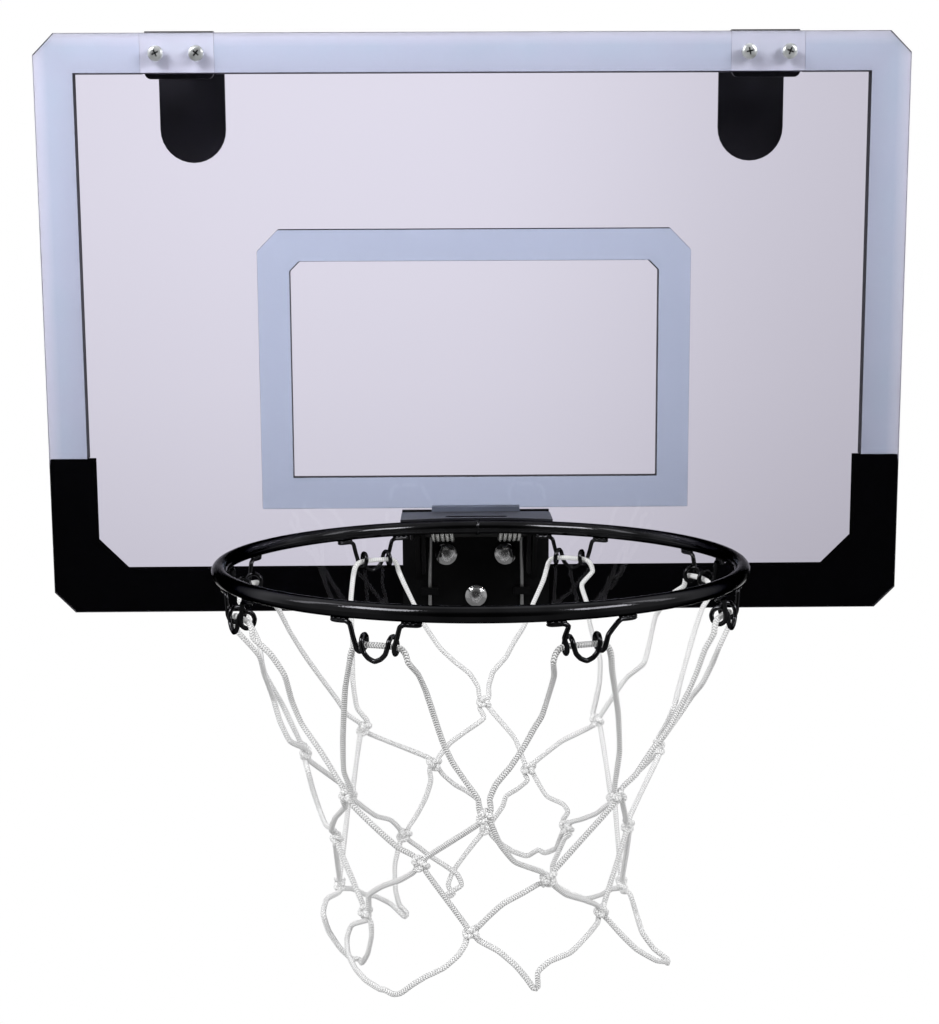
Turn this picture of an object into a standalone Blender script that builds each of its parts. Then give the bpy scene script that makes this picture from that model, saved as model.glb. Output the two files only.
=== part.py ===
"""Over-the-door mini basketball hoop with a sprung rim that gives way.

Metres, +Z up, the front faces -Y. The door's face is the plane y = 0. The origin is the
middle of the top foam strip's back face, where the backboard rests on the door.
Angles round the ring are in degrees from its front (-Y) towards +X.
"""
import math

import bmesh
import bpy
from mathutils import Vector

# Clearances
GAP = 0.0003            # between pieces that touch
COIL_GAP = 0.0006       # between two turns of a spring
COIL_CLEARANCE = 0.0004 # between a spring and the pin
CUT_MARGIN = 0.001      # what a cutter stands past the piece that it cuts

# Backboard: a clear panel with foam strips on its back
PANEL_WIDTH = 0.457
PANEL_HEIGHT = 0.305
PANEL_DEPTH = 0.003
PANEL_CHAMFER = 0.011
FOAM_DEPTH = 0.008
FOAM_WIDTH = 0.020
BAND_TOP_DROP = 0.2218          # from the panel's top edge to the tops of the band's legs
BAND_LEG_WIDTH = 0.0233
BAND_BAR_HEIGHT = 0.0232
BAND_CHAMFER = 0.0156
TARGET_WIDTH = 0.230
TARGET_HEIGHT = 0.149
TARGET_DROP = 0.1003
TARGET_BAR = 0.017
TARGET_CHAMFER = 0.0115
TARGET_INNER_CHAMFER = 0.005

# Door hooks: bent strips over the top of the door
HOOK_INSET = 0.0745             # from the panel's side edge to a hook's middle
STRIP_WIDTH = 0.036
STRIP_DEPTH = 0.002
STRIP_BEND = 0.0035             # outer radius of the two bends
DOOR_GAP = 0.045
HOOK_PLATE_DROP = 0.0225        # the front leg's end below the panel's top edge
HOOK_PLATE_CORNER = 0.003
TONGUE_DROP = 0.063             # the rear leg's end below the panel's top edge
PAD_WIDTH = 0.038
SCREW_SPACING = 0.021
SCREW_DROP = 0.0106
SCREW_HEAD_RADIUS = 0.0041
SCREW_HEAD_HEIGHT = 0.0028
SCREW_RADIUS = 0.002
CROSS_LENGTH = 0.0048
CROSS_WIDTH = 0.0009
CROSS_DEPTH = 0.0013

# Mount bracket on the panel's front
BRACKET_WIDTH = 0.079
BRACKET_DEPTH = 0.0025
BRACKET_TOP_DROP = 0.2497
BRACKET_BOTTOM_DROP = 0.3035
BRACKET_CORNER = 0.004
EAR_DEPTH = 0.0025
EAR_RADIUS = 0.0065
EAR_FOOT_DROP = 0.289
LUG_WIDTH = 0.009
LUG_HEIGHT = 0.004
LUG_DROP = 0.2935
LUG_COVER = 0.0015              # metal in front of a spring's leg
BOLT_SPACING = 0.032
BOLT_DROP = 0.2736
LOWER_BOLT_DROP = 0.2964
BOLT_RADIUS = 0.003
BOLT_HEAD_RADIUS = 0.00595
BOLT_HEAD_HEIGHT = 0.0038
BOLT_END = 0.001                # what a bolt stands out past its nut
WASHER_RADIUS = 0.0064
WASHER_DEPTH = 0.0012
NUT_FLATS = 0.010
NUT_DEPTH = 0.0045
NUT_POCKET = 0.0073             # radius of the band's pocket round the lower nut

# Hinge of the rim
HINGE_REACH = 0.020             # from the panel's front to the pin's axis
HINGE_DROP = 0.2595
PIN_RADIUS = 0.0025
PIN_HEAD_RADIUS = 0.004
PIN_HEAD = 0.0022
PIN_END = 0.0014                # what the pin stands out past its clip
CLIP_DEPTH = 0.001
CLIP_RADIUS = 0.0046
CLIP_MOUTH = 100                # degrees
SPRING_WIRE = 0.001             # radius
SPRING_TURNS = 5
SPRING_INNER = 0.0112           # from the middle to the inner leg's centre line
SPRING_LEG_DROP = 0.3015
SPRING_LEG_BEND = 0.290
SPRING_LEG_SPREAD = 0.0007
SPRING_SIDE_GAP = 0.001         # between a spring's outer leg and the rim's lug

# Rim plate: carries the ring, rests its tongue on the bracket's top edge
RIM_PLATE_DEPTH = 0.002
RIM_PLATE_BACK = 0.010          # from the panel's front
RIM_PLATE_CORNER = 0.003
TONGUE_WIDTH = 0.047
TONGUE_BACK = 0.0005
RAMP_LENGTH = 0.0022
SLOT_WIDTH = 0.0325
SLOT_LENGTH = 0.004
SLOT_REACH = 0.0285             # from the panel's front to the slot's middle
RIM_LUG_DEPTH = 0.002
RIM_LUG_FLARE = 0.004           # how much wider a lug is at the plate than at the pin
HEEL_DROP = 0.022               # below the pin, the rim's stop when it is pulled down
HEEL_BACK = 0.0067
HEEL_FRONT = 0.002

# Ring and its wire hooks, the hooks' places set by hand as they were welded
RING_INNER_DIAMETER = 0.229
RING_TUBE = 0.0035              # radius
RING_REACH = 0.033              # from the panel's front to the back of the ring
RING_DROP = 0.254
HOOK_WIRE = 0.001               # radius
CURL_RADIUS = 0.0035            # of the wire's centre line
CURL_PITCH = 0.0028
CURL_DROP = 0.0140              # below the ring's centre line
CURL_REACH = 0.0071             # from the hook's middle to the middle of a curl
VALLEY_DROP = 0.0203
HOOK_ANGLES = (19.9, 65.4, 112.5, 155.3, 207.1, 253.0, 295.3, 338.1)
HOOK_LEANS = (0.0030, 0.0, 0.0, 0.0, 0.0, 0.0, 0.0, 0.0)   # tails, along the ring
WELD_REACH = 0.0200
WELD_LENGTH = 0.0075

# Net: one cord for each hook, knotted to its neighbours
CORD_RADIUS = 0.0012
KNOT_SWELL = 1.6                # radius at a knot, as a share of the cord's
KNOT_GAP = 0.0005
KNOT_HALF_HEIGHT = 0.003
KNOT_FLARE = 0.0006             # how far a cord spreads above and below its knot
LOOP_HALF_WIDTH = 0.004         # of the net's lowest loops
LOOP_LIFT = 0.0012
CORD_SLACK = 0.0005             # between a cord and the inside of a curl
CORD_STEP = 0.013               # between the points of a cord's long stretches
NET_LENGTH = 0.180              # from the ring's centre line to the lowest loops

# Knots by hand, in order round the ring: degrees, share of the ring's radius, share of the
# net's length below the ring
ROW_1 = ((0, 0.729, 0.511), (42, 0.729, 0.500), (91, 0.699, 0.481), (136, 0.712, 0.497),
         (178, 0.720, 0.475), (223, 0.712, 0.514), (268, 0.691, 0.494), (317, 0.729, 0.497))
ROW_2 = ((22.5, 0.610, 0.700), (66, 0.606, 0.636), (112, 0.581, 0.664),
         (158.5, 0.576, 0.636), (200, 0.559, 0.617), (248, 0.568, 0.642),
         (293, 0.606, 0.667), (337.5, 0.610, 0.661))
ROW_3 = ((-5, 0.534, 0.842), (53, 0.559, 0.839), (93, 0.559, 0.853), (136, 0.517, 0.772),
         (177, 0.534, 0.808), (218, 0.517, 0.797), (270, 0.564, 0.839), (307, 0.559, 0.833))
LOOPS = ((17, 0.619, 0.972), (67.5, 0.746, 0.992), (118, 0.492, 0.944), (151, 0.585, 0.872),
         (195, 0.441, 0.967), (232, 0.441, 0.994), (294, 0.525, 1.000), (330, 0.678, 0.981))

# Bends by hand between knots, in the order of each cord's route: down its right side
# (stretches 0 to 3) and up its left side (4 to 7), each point as the knots are
BENDS = {
    (1, 0): ((27.2, 0.949, 0.147), (32.7, 0.864, 0.267), (37.8, 0.788, 0.378)),
    (1, 3): ((42.8, 0.610, 0.867), (31.4, 0.627, 0.883), (22.5, 0.636, 0.897)),
    (1, 4): ((11.3, 0.602, 0.903), (3.8, 0.568, 0.869)),
    (1, 6): ((9.2, 0.669, 0.636), (4.3, 0.703, 0.583)),
    (1, 7): ((10.5, 0.797, 0.331), (13.6, 0.856, 0.239), (15, 0.924, 0.150)),
    (2, 3): ((82, 0.627, 0.906),),
    (2, 4): ((58, 0.661, 0.928),),
    (7, 3): ((304.1, 0.525, 0.886), (305.8, 0.525, 0.928)),
    (7, 4): ((291, 0.593, 0.972), (277, 0.619, 0.964), (273.5, 0.636, 0.922),
             (272, 0.619, 0.878)),
    (8, 0): ((346.7, 0.898, 0.183), (348.6, 0.822, 0.292)),
    (8, 3): ((347, 0.627, 0.900), (339.6, 0.661, 0.936)),
    (8, 4): ((319.6, 0.678, 0.967), (311.1, 0.661, 0.953), (306.4, 0.644, 0.914),
             (306.5, 0.610, 0.869)),
    (8, 6): ((330.7, 0.644, 0.619), (324.6, 0.695, 0.564)),
    (8, 7): ((319.2, 0.771, 0.428), (323, 0.831, 0.331), (328.2, 0.915, 0.197)),
}

ROUND = 16                      # sides of a small round piece

# Places that follow from the sizes above
HOOK_SPACING = PANEL_WIDTH - 2 * HOOK_INSET
PANEL_TOP = FOAM_WIDTH / 2
PANEL_BACK = -(FOAM_DEPTH + GAP)
PANEL_FRONT = PANEL_BACK - PANEL_DEPTH
HINGE_Y = PANEL_FRONT - HINGE_REACH
HINGE_Z = PANEL_TOP - HINGE_DROP
BRACKET_BACK = PANEL_FRONT - GAP
BRACKET_FRONT = BRACKET_BACK - BRACKET_DEPTH
BRACKET_TOP = PANEL_TOP - BRACKET_TOP_DROP
TONGUE_BOTTOM = BRACKET_TOP + GAP
RIM_PLATE_TOP = BRACKET_TOP
RIM_PLATE_BOTTOM = RIM_PLATE_TOP - RIM_PLATE_DEPTH
COIL_RADIUS = PIN_RADIUS + COIL_CLEARANCE + SPRING_WIRE
SPRING_PITCH = 2 * SPRING_WIRE + COIL_GAP
SPRING_OUTER = SPRING_INNER + SPRING_TURNS * SPRING_PITCH
RIM_LUG_INNER = SPRING_OUTER + SPRING_LEG_SPREAD + SPRING_WIRE + SPRING_SIDE_GAP
EAR_INNER = RIM_LUG_INNER + RIM_LUG_DEPTH + 3 * GAP
PIN_HOLE = PIN_RADIUS + GAP
RING_RADIUS = RING_INNER_DIAMETER / 2 + RING_TUBE
RING_Y = PANEL_FRONT - RING_REACH - RING_TUBE - RING_RADIUS
RING_Z = PANEL_TOP - RING_DROP
PAD_DEPTH = FOAM_DEPTH - STRIP_DEPTH - GAP

SATIN_BLACK = ("satin black steel", (0.012, 0.011, 0.016), 0.45, 0.0)
GLOSS_BLACK = ("gloss black steel", (0.006, 0.006, 0.008), 0.15, 0.0)
CHROME = ("chrome", (0.75, 0.75, 0.78), 0.12, 1.0)
ZINC = ("zinc wire", (0.62, 0.62, 0.60), 0.30, 1.0)
BLUE_FOAM = ("blue foam", (0.52, 0.60, 0.80), 0.75, 0.0)
WHITE_FOAM = ("white foam", (0.80, 0.80, 0.84), 0.80, 0.0)
BLACK_FOAM = ("black foam", (0.004, 0.004, 0.006), 0.30, 0.0)
CLEAR = ("clear plastic", (0.86, 0.84, 0.92), 0.05, 0.0)
CORD = ("white cord", (0.80, 0.80, 0.80), 0.85, 0.0)


def clear_scene():
    """Removes what the file holds and makes the two collections."""
    for obj in list(bpy.data.objects):
        bpy.data.objects.remove(obj)
    collections = []
    for name in ("basketball hoop", "cutters"):
        collection = bpy.data.collections.new(name)
        bpy.context.scene.collection.children.link(collection)
        collections.append(collection)
    return collections


def material(look):
    """A plain material, made once for each look."""
    name, colour, roughness, metallic = look
    found = bpy.data.materials.get(name)
    if found:
        return found
    made = bpy.data.materials.new(name)
    made.use_nodes = True
    shader = made.node_tree.nodes["Principled BSDF"]
    shader.inputs["Base Color"].default_value = (*colour, 1.0)
    shader.inputs["Roughness"].default_value = roughness
    shader.inputs["Metallic"].default_value = metallic
    made.diffuse_color = (*colour, 1.0)
    return made


def add(name, data, look, collection=None):
    """Links a new object that holds the data."""
    obj = bpy.data.objects.new(name, data)
    (collection or HOOP).objects.link(obj)
    if look:
        data.materials.append(material(look))
    return obj


def arc(centre, radius, start, end, steps):
    """Points of an arc in a plane, in degrees, both ends included."""
    turns = [math.radians(start + (end - start) * i / steps) for i in range(steps + 1)]
    return [(centre[0] + radius * math.cos(t), centre[1] + radius * math.sin(t)) for t in turns]


def circle(centre, radius, sides=ROUND):
    """A closed circle, its last point left out."""
    return arc(centre, radius, 0, 360, sides)[:-1]


def outline(name, loops, thickness, look, collection=None):
    """A flat filled outline in its own XY plane, thick along its own Z."""
    curve = bpy.data.curves.new(name, "CURVE")
    curve.dimensions = "2D"
    curve.fill_mode = "BOTH"
    curve.extrude = thickness / 2
    for loop in loops:
        spline = curve.splines.new("POLY")
        spline.points.add(len(loop) - 1)
        for point, (u, v) in zip(spline.points, loop):
            point.co = (u, v, 0, 1)
        spline.use_cyclic_u = True
    return add(name, curve, look, collection)


def front_plate(name, loops, y_front, y_back, look, collection=None):
    """An outline in X and Z, from y_front to y_back."""
    obj = outline(name, loops, y_back - y_front, look, collection)
    obj.rotation_euler = (math.pi / 2, 0, 0)
    obj.location = (0, (y_front + y_back) / 2, 0)
    return obj


def side_plate(name, loops, x_low, x_high, look, collection=None):
    """An outline in Y and Z, from x_low to x_high."""
    obj = outline(name, loops, x_high - x_low, look, collection)
    obj.rotation_euler = (math.pi / 2, 0, math.pi / 2)
    obj.location = ((x_low + x_high) / 2, 0, 0)
    return obj


def to_mesh(obj):
    """The curve as a welded mesh object in the same place."""
    bpy.context.view_layer.update()
    evaluated = obj.evaluated_get(bpy.context.evaluated_depsgraph_get())
    mesh = bpy.data.meshes.new_from_object(evaluated)
    cage = bmesh.new()
    cage.from_mesh(mesh)
    bmesh.ops.remove_doubles(cage, verts=cage.verts, dist=0.00001)
    bmesh.ops.recalc_face_normals(cage, faces=cage.faces)
    cage.to_mesh(mesh)
    cage.free()
    name, matrix, home = obj.name, obj.matrix_world.copy(), obj.users_collection[0]
    bpy.data.objects.remove(obj)
    made = bpy.data.objects.new(name, mesh)
    home.objects.link(made)
    made.matrix_world = matrix
    return made


def join(obj, others, operation):
    """Unites the object with others, or cuts it by them."""
    for other in others:
        other = to_mesh(other) if other.type == "CURVE" else other
        other.hide_render = True
        other.display_type = "WIRE"
        step = obj.modifiers.new(other.name, "BOOLEAN")
        step.operation = operation
        step.solver = "EXACT"
        step.object = other
    return obj


def rod(name, radius, start, end, look=None, sides=ROUND, collection=None):
    """A straight cylinder between two points."""
    start, end = Vector(start), Vector(end)
    cage = bmesh.new()
    bmesh.ops.create_cone(cage, cap_ends=True, segments=sides, radius1=radius, radius2=radius,
                          depth=(end - start).length)
    mesh = bpy.data.meshes.new(name)
    cage.to_mesh(mesh)
    cage.free()
    obj = add(name, mesh, look, collection)
    obj.location = (start + end) / 2
    obj.rotation_euler = (end - start).to_track_quat("Z", "Y").to_euler()
    return obj


def box(name, low, high, collection):
    """A box between two corners."""
    low, high = Vector(low), Vector(high)
    cage = bmesh.new()
    bmesh.ops.create_cube(cage, size=1)
    bmesh.ops.scale(cage, vec=high - low, verts=cage.verts)
    mesh = bpy.data.meshes.new(name)
    cage.to_mesh(mesh)
    cage.free()
    obj = add(name, mesh, None, collection)
    obj.location = (low + high) / 2
    return obj


def turned(name, profile, look, sides=ROUND):
    """A turned piece: the profile is radius and height, from its top to its bottom."""
    mesh = bpy.data.meshes.new(name)
    edges = [(i, i + 1) for i in range(len(profile) - 1)]
    mesh.from_pydata([(radius, 0, height) for radius, height in profile], edges, [])
    obj = add(name, mesh, look)
    turn = obj.modifiers.new("turn", "SCREW")
    turn.axis = "Z"
    turn.steps = sides
    turn.render_steps = sides
    turn.use_merge_vertices = True
    turn.merge_threshold = 0.00001
    return obj


def tube(name, points, radius, look, resolution=2, swell=None, closed=False):
    """A round wire or cord along the points, thicker where swell says so."""
    curve = bpy.data.curves.new(name, "CURVE")
    curve.dimensions = "3D"
    curve.bevel_depth = radius
    curve.bevel_resolution = resolution
    curve.use_fill_caps = not closed
    spline = curve.splines.new("POLY")
    spline.points.add(len(points) - 1)
    for i, (x, y, z) in enumerate(points):
        spline.points[i].co = (x, y, z, 1)
        spline.points[i].radius = swell[i] if swell else 1.0
    spline.use_cyclic_u = closed
    return add(name, curve, look)


def least_gap(points, radii, skip):
    """The least gap between stretches of one tube that are skip or more points apart."""
    count = len(points)
    gaps = []
    for i in range(count):
        for j in range(i + skip, count - max(0, i + skip - count)):
            if count - j + i >= skip:
                apart = (Vector(points[i]) - Vector(points[j])).length
                gaps.append(apart - radii[i] - radii[j])
    return min(gaps)


def mirrored(loop):
    """The outline's other half, so that the points still run one way round."""
    return [(-u, v) for u, v in reversed(loop)]


def make_panel():
    """The clear panel, with holes for four screws and three bolts."""
    x, top, bottom = PANEL_WIDTH / 2, PANEL_TOP, PANEL_TOP - PANEL_HEIGHT
    c = PANEL_CHAMFER
    right = [(x - c, bottom), (x, bottom + c), (x, top - c), (x - c, top)]
    holes = [circle(place, SCREW_RADIUS + GAP) for place in screw_places()]
    holes += [circle(place, BOLT_RADIUS + GAP) for place in bolt_places()]
    front_plate("backboard_panel", [right + mirrored(right)] + holes, PANEL_FRONT, PANEL_BACK, CLEAR)


def screw_places():
    """Centres of the four screws in X and Z."""
    z = PANEL_TOP - SCREW_DROP
    return [(side * HOOK_SPACING / 2 + step * SCREW_SPACING / 2, z)
            for side in (-1, 1) for step in (-1, 1)]


def bolt_places():
    """Centres of the three bolts in X and Z."""
    upper = PANEL_TOP - BOLT_DROP
    return [(-BOLT_SPACING / 2, upper), (BOLT_SPACING / 2, upper), (0, PANEL_TOP - LOWER_BOLT_DROP)]


def make_foam():
    """The blue border, the target square and the black band on the panel's back."""
    x, top, c = PANEL_WIDTH / 2, PANEL_TOP, PANEL_CHAMFER
    low = top - FOAM_WIDTH
    pad_in = HOOK_SPACING / 2 - PAD_WIDTH / 2 - GAP
    pad_out = HOOK_SPACING / 2 + PAD_WIDTH / 2 + GAP
    front = -FOAM_DEPTH
    middle = [(-pad_in, low), (pad_in, low), (pad_in, top), (-pad_in, top)]
    front_plate("foam_top", [middle], front, 0, BLUE_FOAM)
    foot = top - BAND_TOP_DROP + GAP
    corner = [(pad_out, low), (x - FOAM_WIDTH, low), (x - FOAM_WIDTH, foot), (x, foot),
              (x, top - c), (x - c, top), (pad_out, top)]
    front_plate("foam_right", [corner], front, 0, BLUE_FOAM)
    front_plate("foam_left", [mirrored(corner)], front, 0, BLUE_FOAM)

    leg_top, bottom = top - BAND_TOP_DROP, top - PANEL_HEIGHT
    inner, bar = x - BAND_LEG_WIDTH, bottom + BAND_BAR_HEIGHT
    right = [(x - c, bottom), (x, bottom + c), (x, leg_top), (inner, leg_top),
             (inner, bar + BAND_CHAMFER), (inner - BAND_CHAMFER, bar)]
    pocket = circle(bolt_places()[2], NUT_POCKET)
    front_plate("lower_band", [right + mirrored(right), pocket], front, 0, BLACK_FOAM)

    x, top, c = TARGET_WIDTH / 2, PANEL_TOP - TARGET_DROP, TARGET_CHAMFER
    bottom = top - TARGET_HEIGHT
    right = [(x, bottom), (x, top - c), (x - c, top)]
    x, top, bottom, c = x - TARGET_BAR, top - TARGET_BAR, bottom + TARGET_BAR, TARGET_INNER_CHAMFER
    hole = [(x, bottom), (x, top - c), (x - c, top)]
    loops = [right + mirrored(right), hole + mirrored(hole)]
    front_plate("target_frame", loops, front, 0, BLUE_FOAM)


def make_door_hook(side, sign):
    """One bent strip over the door, its pad and its two screws."""
    x, top = sign * HOOK_SPACING / 2, PANEL_TOP
    places = [(cx, cz) for cx, cz in screw_places() if cx * sign > 0]
    r, t = STRIP_BEND, STRIP_DEPTH
    under, over = top + GAP, top + GAP + STRIP_DEPTH
    front, inside, back = -t, DOOR_GAP, DOOR_GAP + t
    plate_end, tongue_end = top - HOOK_PLATE_DROP, top - TONGUE_DROP
    bends = arc((front + r, over - r), r, 180, 90, 4) + arc((back - r, over - r), r, 90, 0, 4)
    inner = arc((inside - r + t, under - r + t), r - t, 0, 90, 4)
    inner += arc((r - t, under - r + t), r - t, 90, 180, 4)
    profile = [(front, plate_end)] + bends + [(back, tongue_end), (inside, tongue_end)] + inner
    profile += [(0, plate_end)]
    strip = to_mesh(side_plate(f"door_hook_{side}", [profile], x - STRIP_WIDTH / 2,
                               x + STRIP_WIDTH / 2, SATIN_BLACK))

    w, far = STRIP_WIDTH / 2, CUT_MARGIN
    rounded = arc((x, tongue_end + w), w, 180, 360, 16) + [(x + w, over + far), (x - w, over + far)]
    tongue = front_plate(f"tongue_{side}", [rounded], front - far, back + far, None, CUTTERS)
    join(strip, [tongue], "INTERSECT")
    c = HOOK_PLATE_CORNER
    loops = [circle(place, SCREW_RADIUS + GAP) for place in places]
    low = plate_end - far
    right = arc((x + w - c, plate_end + c), c, 270, 360, 4)
    right += [(x + w + far, plate_end + c), (x + w + far, low), (x + w - c, low)]
    left = arc((x - w + c, plate_end + c), c, 180, 270, 4)
    left += [(x - w + c, low), (x - w - far, low), (x - w - far, plate_end + c)]
    loops += [right, left]
    cut = front_plate(f"hook_cut_{side}", loops, front - far, far, None, CUTTERS)
    join(strip, [cut], "DIFFERENCE")

    low, half = top - FOAM_WIDTH, PAD_WIDTH / 2
    pad = [(x - half, low), (x + half, low), (x + half, top), (x - half, top)]
    holes = [circle(place, SCREW_RADIUS + GAP) for place in places]
    front_plate(f"hook_pad_{side}", [pad] + holes, -FOAM_DEPTH, -STRIP_DEPTH - GAP, WHITE_FOAM)


def make_screws():
    """Pan head screws with a cross, through the panel and the pads into the strips."""
    under = PANEL_FRONT - GAP
    length = -under - GAP
    head, high, shank = SCREW_HEAD_RADIUS, SCREW_HEAD_HEIGHT, SCREW_RADIUS
    profile = [(0, high), (head * 0.45, high * 0.96), (head * 0.8, high * 0.75),
               (head * 0.97, high * 0.4), (head, 0), (shank, 0), (shank, -length), (0, -length)]
    for number, (x, z) in enumerate(screw_places(), 1):
        screw = turned(f"hook_screw_{number}", profile, CHROME)
        screw.location = (x, under, z)
        screw.rotation_euler = (math.pi / 2, 0, 0)
        front = under - high
        bars = ((CROSS_LENGTH, CROSS_WIDTH), (CROSS_WIDTH, CROSS_LENGTH))
        for hand, (wide, high_bar) in enumerate(bars):
            low = (x - wide / 2, front - CUT_MARGIN, z - high_bar / 2)
            cutter = box(f"cross_{number}_{hand}", low,
                         (x + wide / 2, front + CROSS_DEPTH, z + high_bar / 2), CUTTERS)
            join(screw, [cutter], "DIFFERENCE")


def make_bolts():
    """Domed bolts through the bracket and the panel, each with a washer and a nut behind."""
    under = BRACKET_FRONT - GAP
    nut_back = PANEL_BACK + GAP + WASHER_DEPTH + GAP + NUT_DEPTH
    length = nut_back + BOLT_END - under
    head, high, shank = BOLT_HEAD_RADIUS, BOLT_HEAD_HEIGHT, BOLT_RADIUS
    dome = [(head * math.sin(math.radians(t)), high * math.cos(math.radians(t)))
            for t in (0, 22, 44, 66, 84)]
    profile = dome + [(head * 0.98, 0), (shank, 0), (shank, -length), (0, -length)]
    for number, (x, z) in enumerate(bolt_places(), 1):
        bolt = turned(f"mount_bolt_{number}", profile, CHROME)
        bolt.location = (x, under, z)
        bolt.rotation_euler = (math.pi / 2, 0, 0)
        hole = circle((x, z), shank + GAP)
        front = PANEL_BACK + GAP
        loops = [circle((x, z), WASHER_RADIUS), hole]
        front_plate(f"mount_washer_{number}", loops, front, front + WASHER_DEPTH, CHROME)
        corner = NUT_FLATS / 2 / math.cos(math.radians(30))
        front_plate(f"mount_nut_{number}", [circle((x, z), corner, 6), hole],
                    nut_back - NUT_DEPTH, nut_back, CHROME)


def make_bracket():
    """The bracket: a back plate, two ears for the pin and two lugs over the springs' legs."""
    x, c = BRACKET_WIDTH / 2, BRACKET_CORNER
    bottom = PANEL_TOP - BRACKET_BOTTOM_DROP
    right = arc((x - c, bottom + c), c, 270, 360, 4) + [(x, BRACKET_TOP)]
    holes = [circle(place, BOLT_RADIUS + GAP) for place in bolt_places()]
    bracket = to_mesh(front_plate("mount_bracket", [right + mirrored(right)] + holes,
                                  BRACKET_FRONT, BRACKET_BACK, SATIN_BLACK))
    root, foot = BRACKET_FRONT + BRACKET_DEPTH / 2, PANEL_TOP - EAR_FOOT_DROP
    pin = (HINGE_Y, HINGE_Z)
    ear = arc(pin, EAR_RADIUS, 90, 225, 10) + [(root, foot), (root, HINGE_Z + EAR_RADIUS)]
    lug_z = PANEL_TOP - LUG_DROP
    lug_front = BRACKET_FRONT - 2 * GAP - 2 * SPRING_WIRE - LUG_COVER
    for side, sign in (("left", -1), ("right", 1)):
        low, high = sorted((sign * EAR_INNER, sign * (EAR_INNER + EAR_DEPTH)))
        ear_plate = side_plate(f"ear_{side}", [ear], low, high, None, CUTTERS)
        leg = sign * (SPRING_OUTER + SPRING_LEG_SPREAD)
        lug = box(f"lug_{side}", (leg - LUG_WIDTH / 2, lug_front, lug_z - LUG_HEIGHT / 2),
                  (leg + LUG_WIDTH / 2, root, lug_z + LUG_HEIGHT / 2), CUTTERS)
        join(bracket, [ear_plate, lug], "UNION")
        half = SPRING_WIRE + GAP
        tunnel = box(f"tunnel_{side}", (leg - half, BRACKET_FRONT - 2 * half, lug_z - LUG_HEIGHT),
                     (leg + half, BRACKET_FRONT, lug_z + LUG_HEIGHT), CUTTERS)
        join(bracket, [tunnel], "DIFFERENCE")
    reach = BRACKET_WIDTH / 2
    hole = rod("bracket_hole", PIN_HOLE, (-reach, *pin), (reach, *pin), collection=CUTTERS)
    join(bracket, [hole], "DIFFERENCE")


def make_pin():
    """The hinge pin with a head at one end, and the clip that holds its other end."""
    outer = EAR_INNER + EAR_DEPTH
    clip_at = outer + GAP
    end = clip_at + CLIP_DEPTH + PIN_END
    head = -outer - GAP
    profile = [(0, -head + PIN_HEAD), (PIN_HEAD_RADIUS, -head + PIN_HEAD), (PIN_HEAD_RADIUS, -head),
               (PIN_RADIUS, -head), (PIN_RADIUS, -end), (0, -end)]
    pin = turned("hinge_pin", profile, ZINC)
    pin.location = (0, HINGE_Y, HINGE_Z)
    pin.rotation_euler = (0, -math.pi / 2, 0)
    half = CLIP_MOUTH / 2
    middle = (HINGE_Y, HINGE_Z)
    clip = arc(middle, CLIP_RADIUS, 270 + half, 630 - half, 16)
    clip += arc(middle, PIN_HOLE, 630 - half, 270 + half, 16)
    side_plate("hinge_clip", [clip], clip_at, clip_at + CLIP_DEPTH, ZINC)


def spring_route(sign):
    """The centre line of one torsion spring: inner leg, turns, outer leg."""
    y, z, r = HINGE_Y, HINGE_Z, COIL_RADIUS
    slot_y = PANEL_FRONT - SLOT_REACH
    leg_z = RIM_PLATE_BOTTOM - GAP - SPRING_WIRE
    wire = SPRING_WIRE
    points = [(SPRING_INNER, slot_y, RIM_PLATE_TOP - 0.6 * wire),
              (SPRING_INNER, slot_y, RIM_PLATE_BOTTOM - 0.8 * wire),
              (SPRING_INNER, slot_y + 1.2 * wire, leg_z - 0.6 * wire)]
    foot = Vector((BRACKET_FRONT - GAP - SPRING_WIRE, PANEL_TOP - SPRING_LEG_BEND))
    to_foot = foot - Vector((y, z))
    last = math.pi / 2 - math.atan2(to_foot.x, -to_foot.y) + math.asin(r / to_foot.length)
    sweep = 2 * math.pi * SPRING_TURNS + last
    steps = SPRING_TURNS * 10 + 2
    for i in range(steps + 1):
        turn = sweep * i / steps
        x = SPRING_INNER + (SPRING_OUTER - SPRING_INNER) * i / steps
        points.append((x, y + r * math.sin(turn), z + r * math.cos(turn)))
    wide = SPRING_OUTER + SPRING_LEG_SPREAD
    points.append((wide, foot.x, foot.y))
    points.append((wide, foot.x, PANEL_TOP - SPRING_LEG_DROP))
    return [(sign * x, y, z) for x, y, z in points]


def make_springs():
    """Two mirrored torsion springs round the pin."""
    for side, sign in (("left", -1), ("right", 1)):
        points = spring_route(sign)
        tube(f"spring_{side}", points, SPRING_WIRE, ZINC, resolution=1)
        gap = least_gap(points, [SPRING_WIRE] * len(points), 6)
        print(f"spring_{side} least gap to itself {gap * 1000:.2f} mm")


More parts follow.
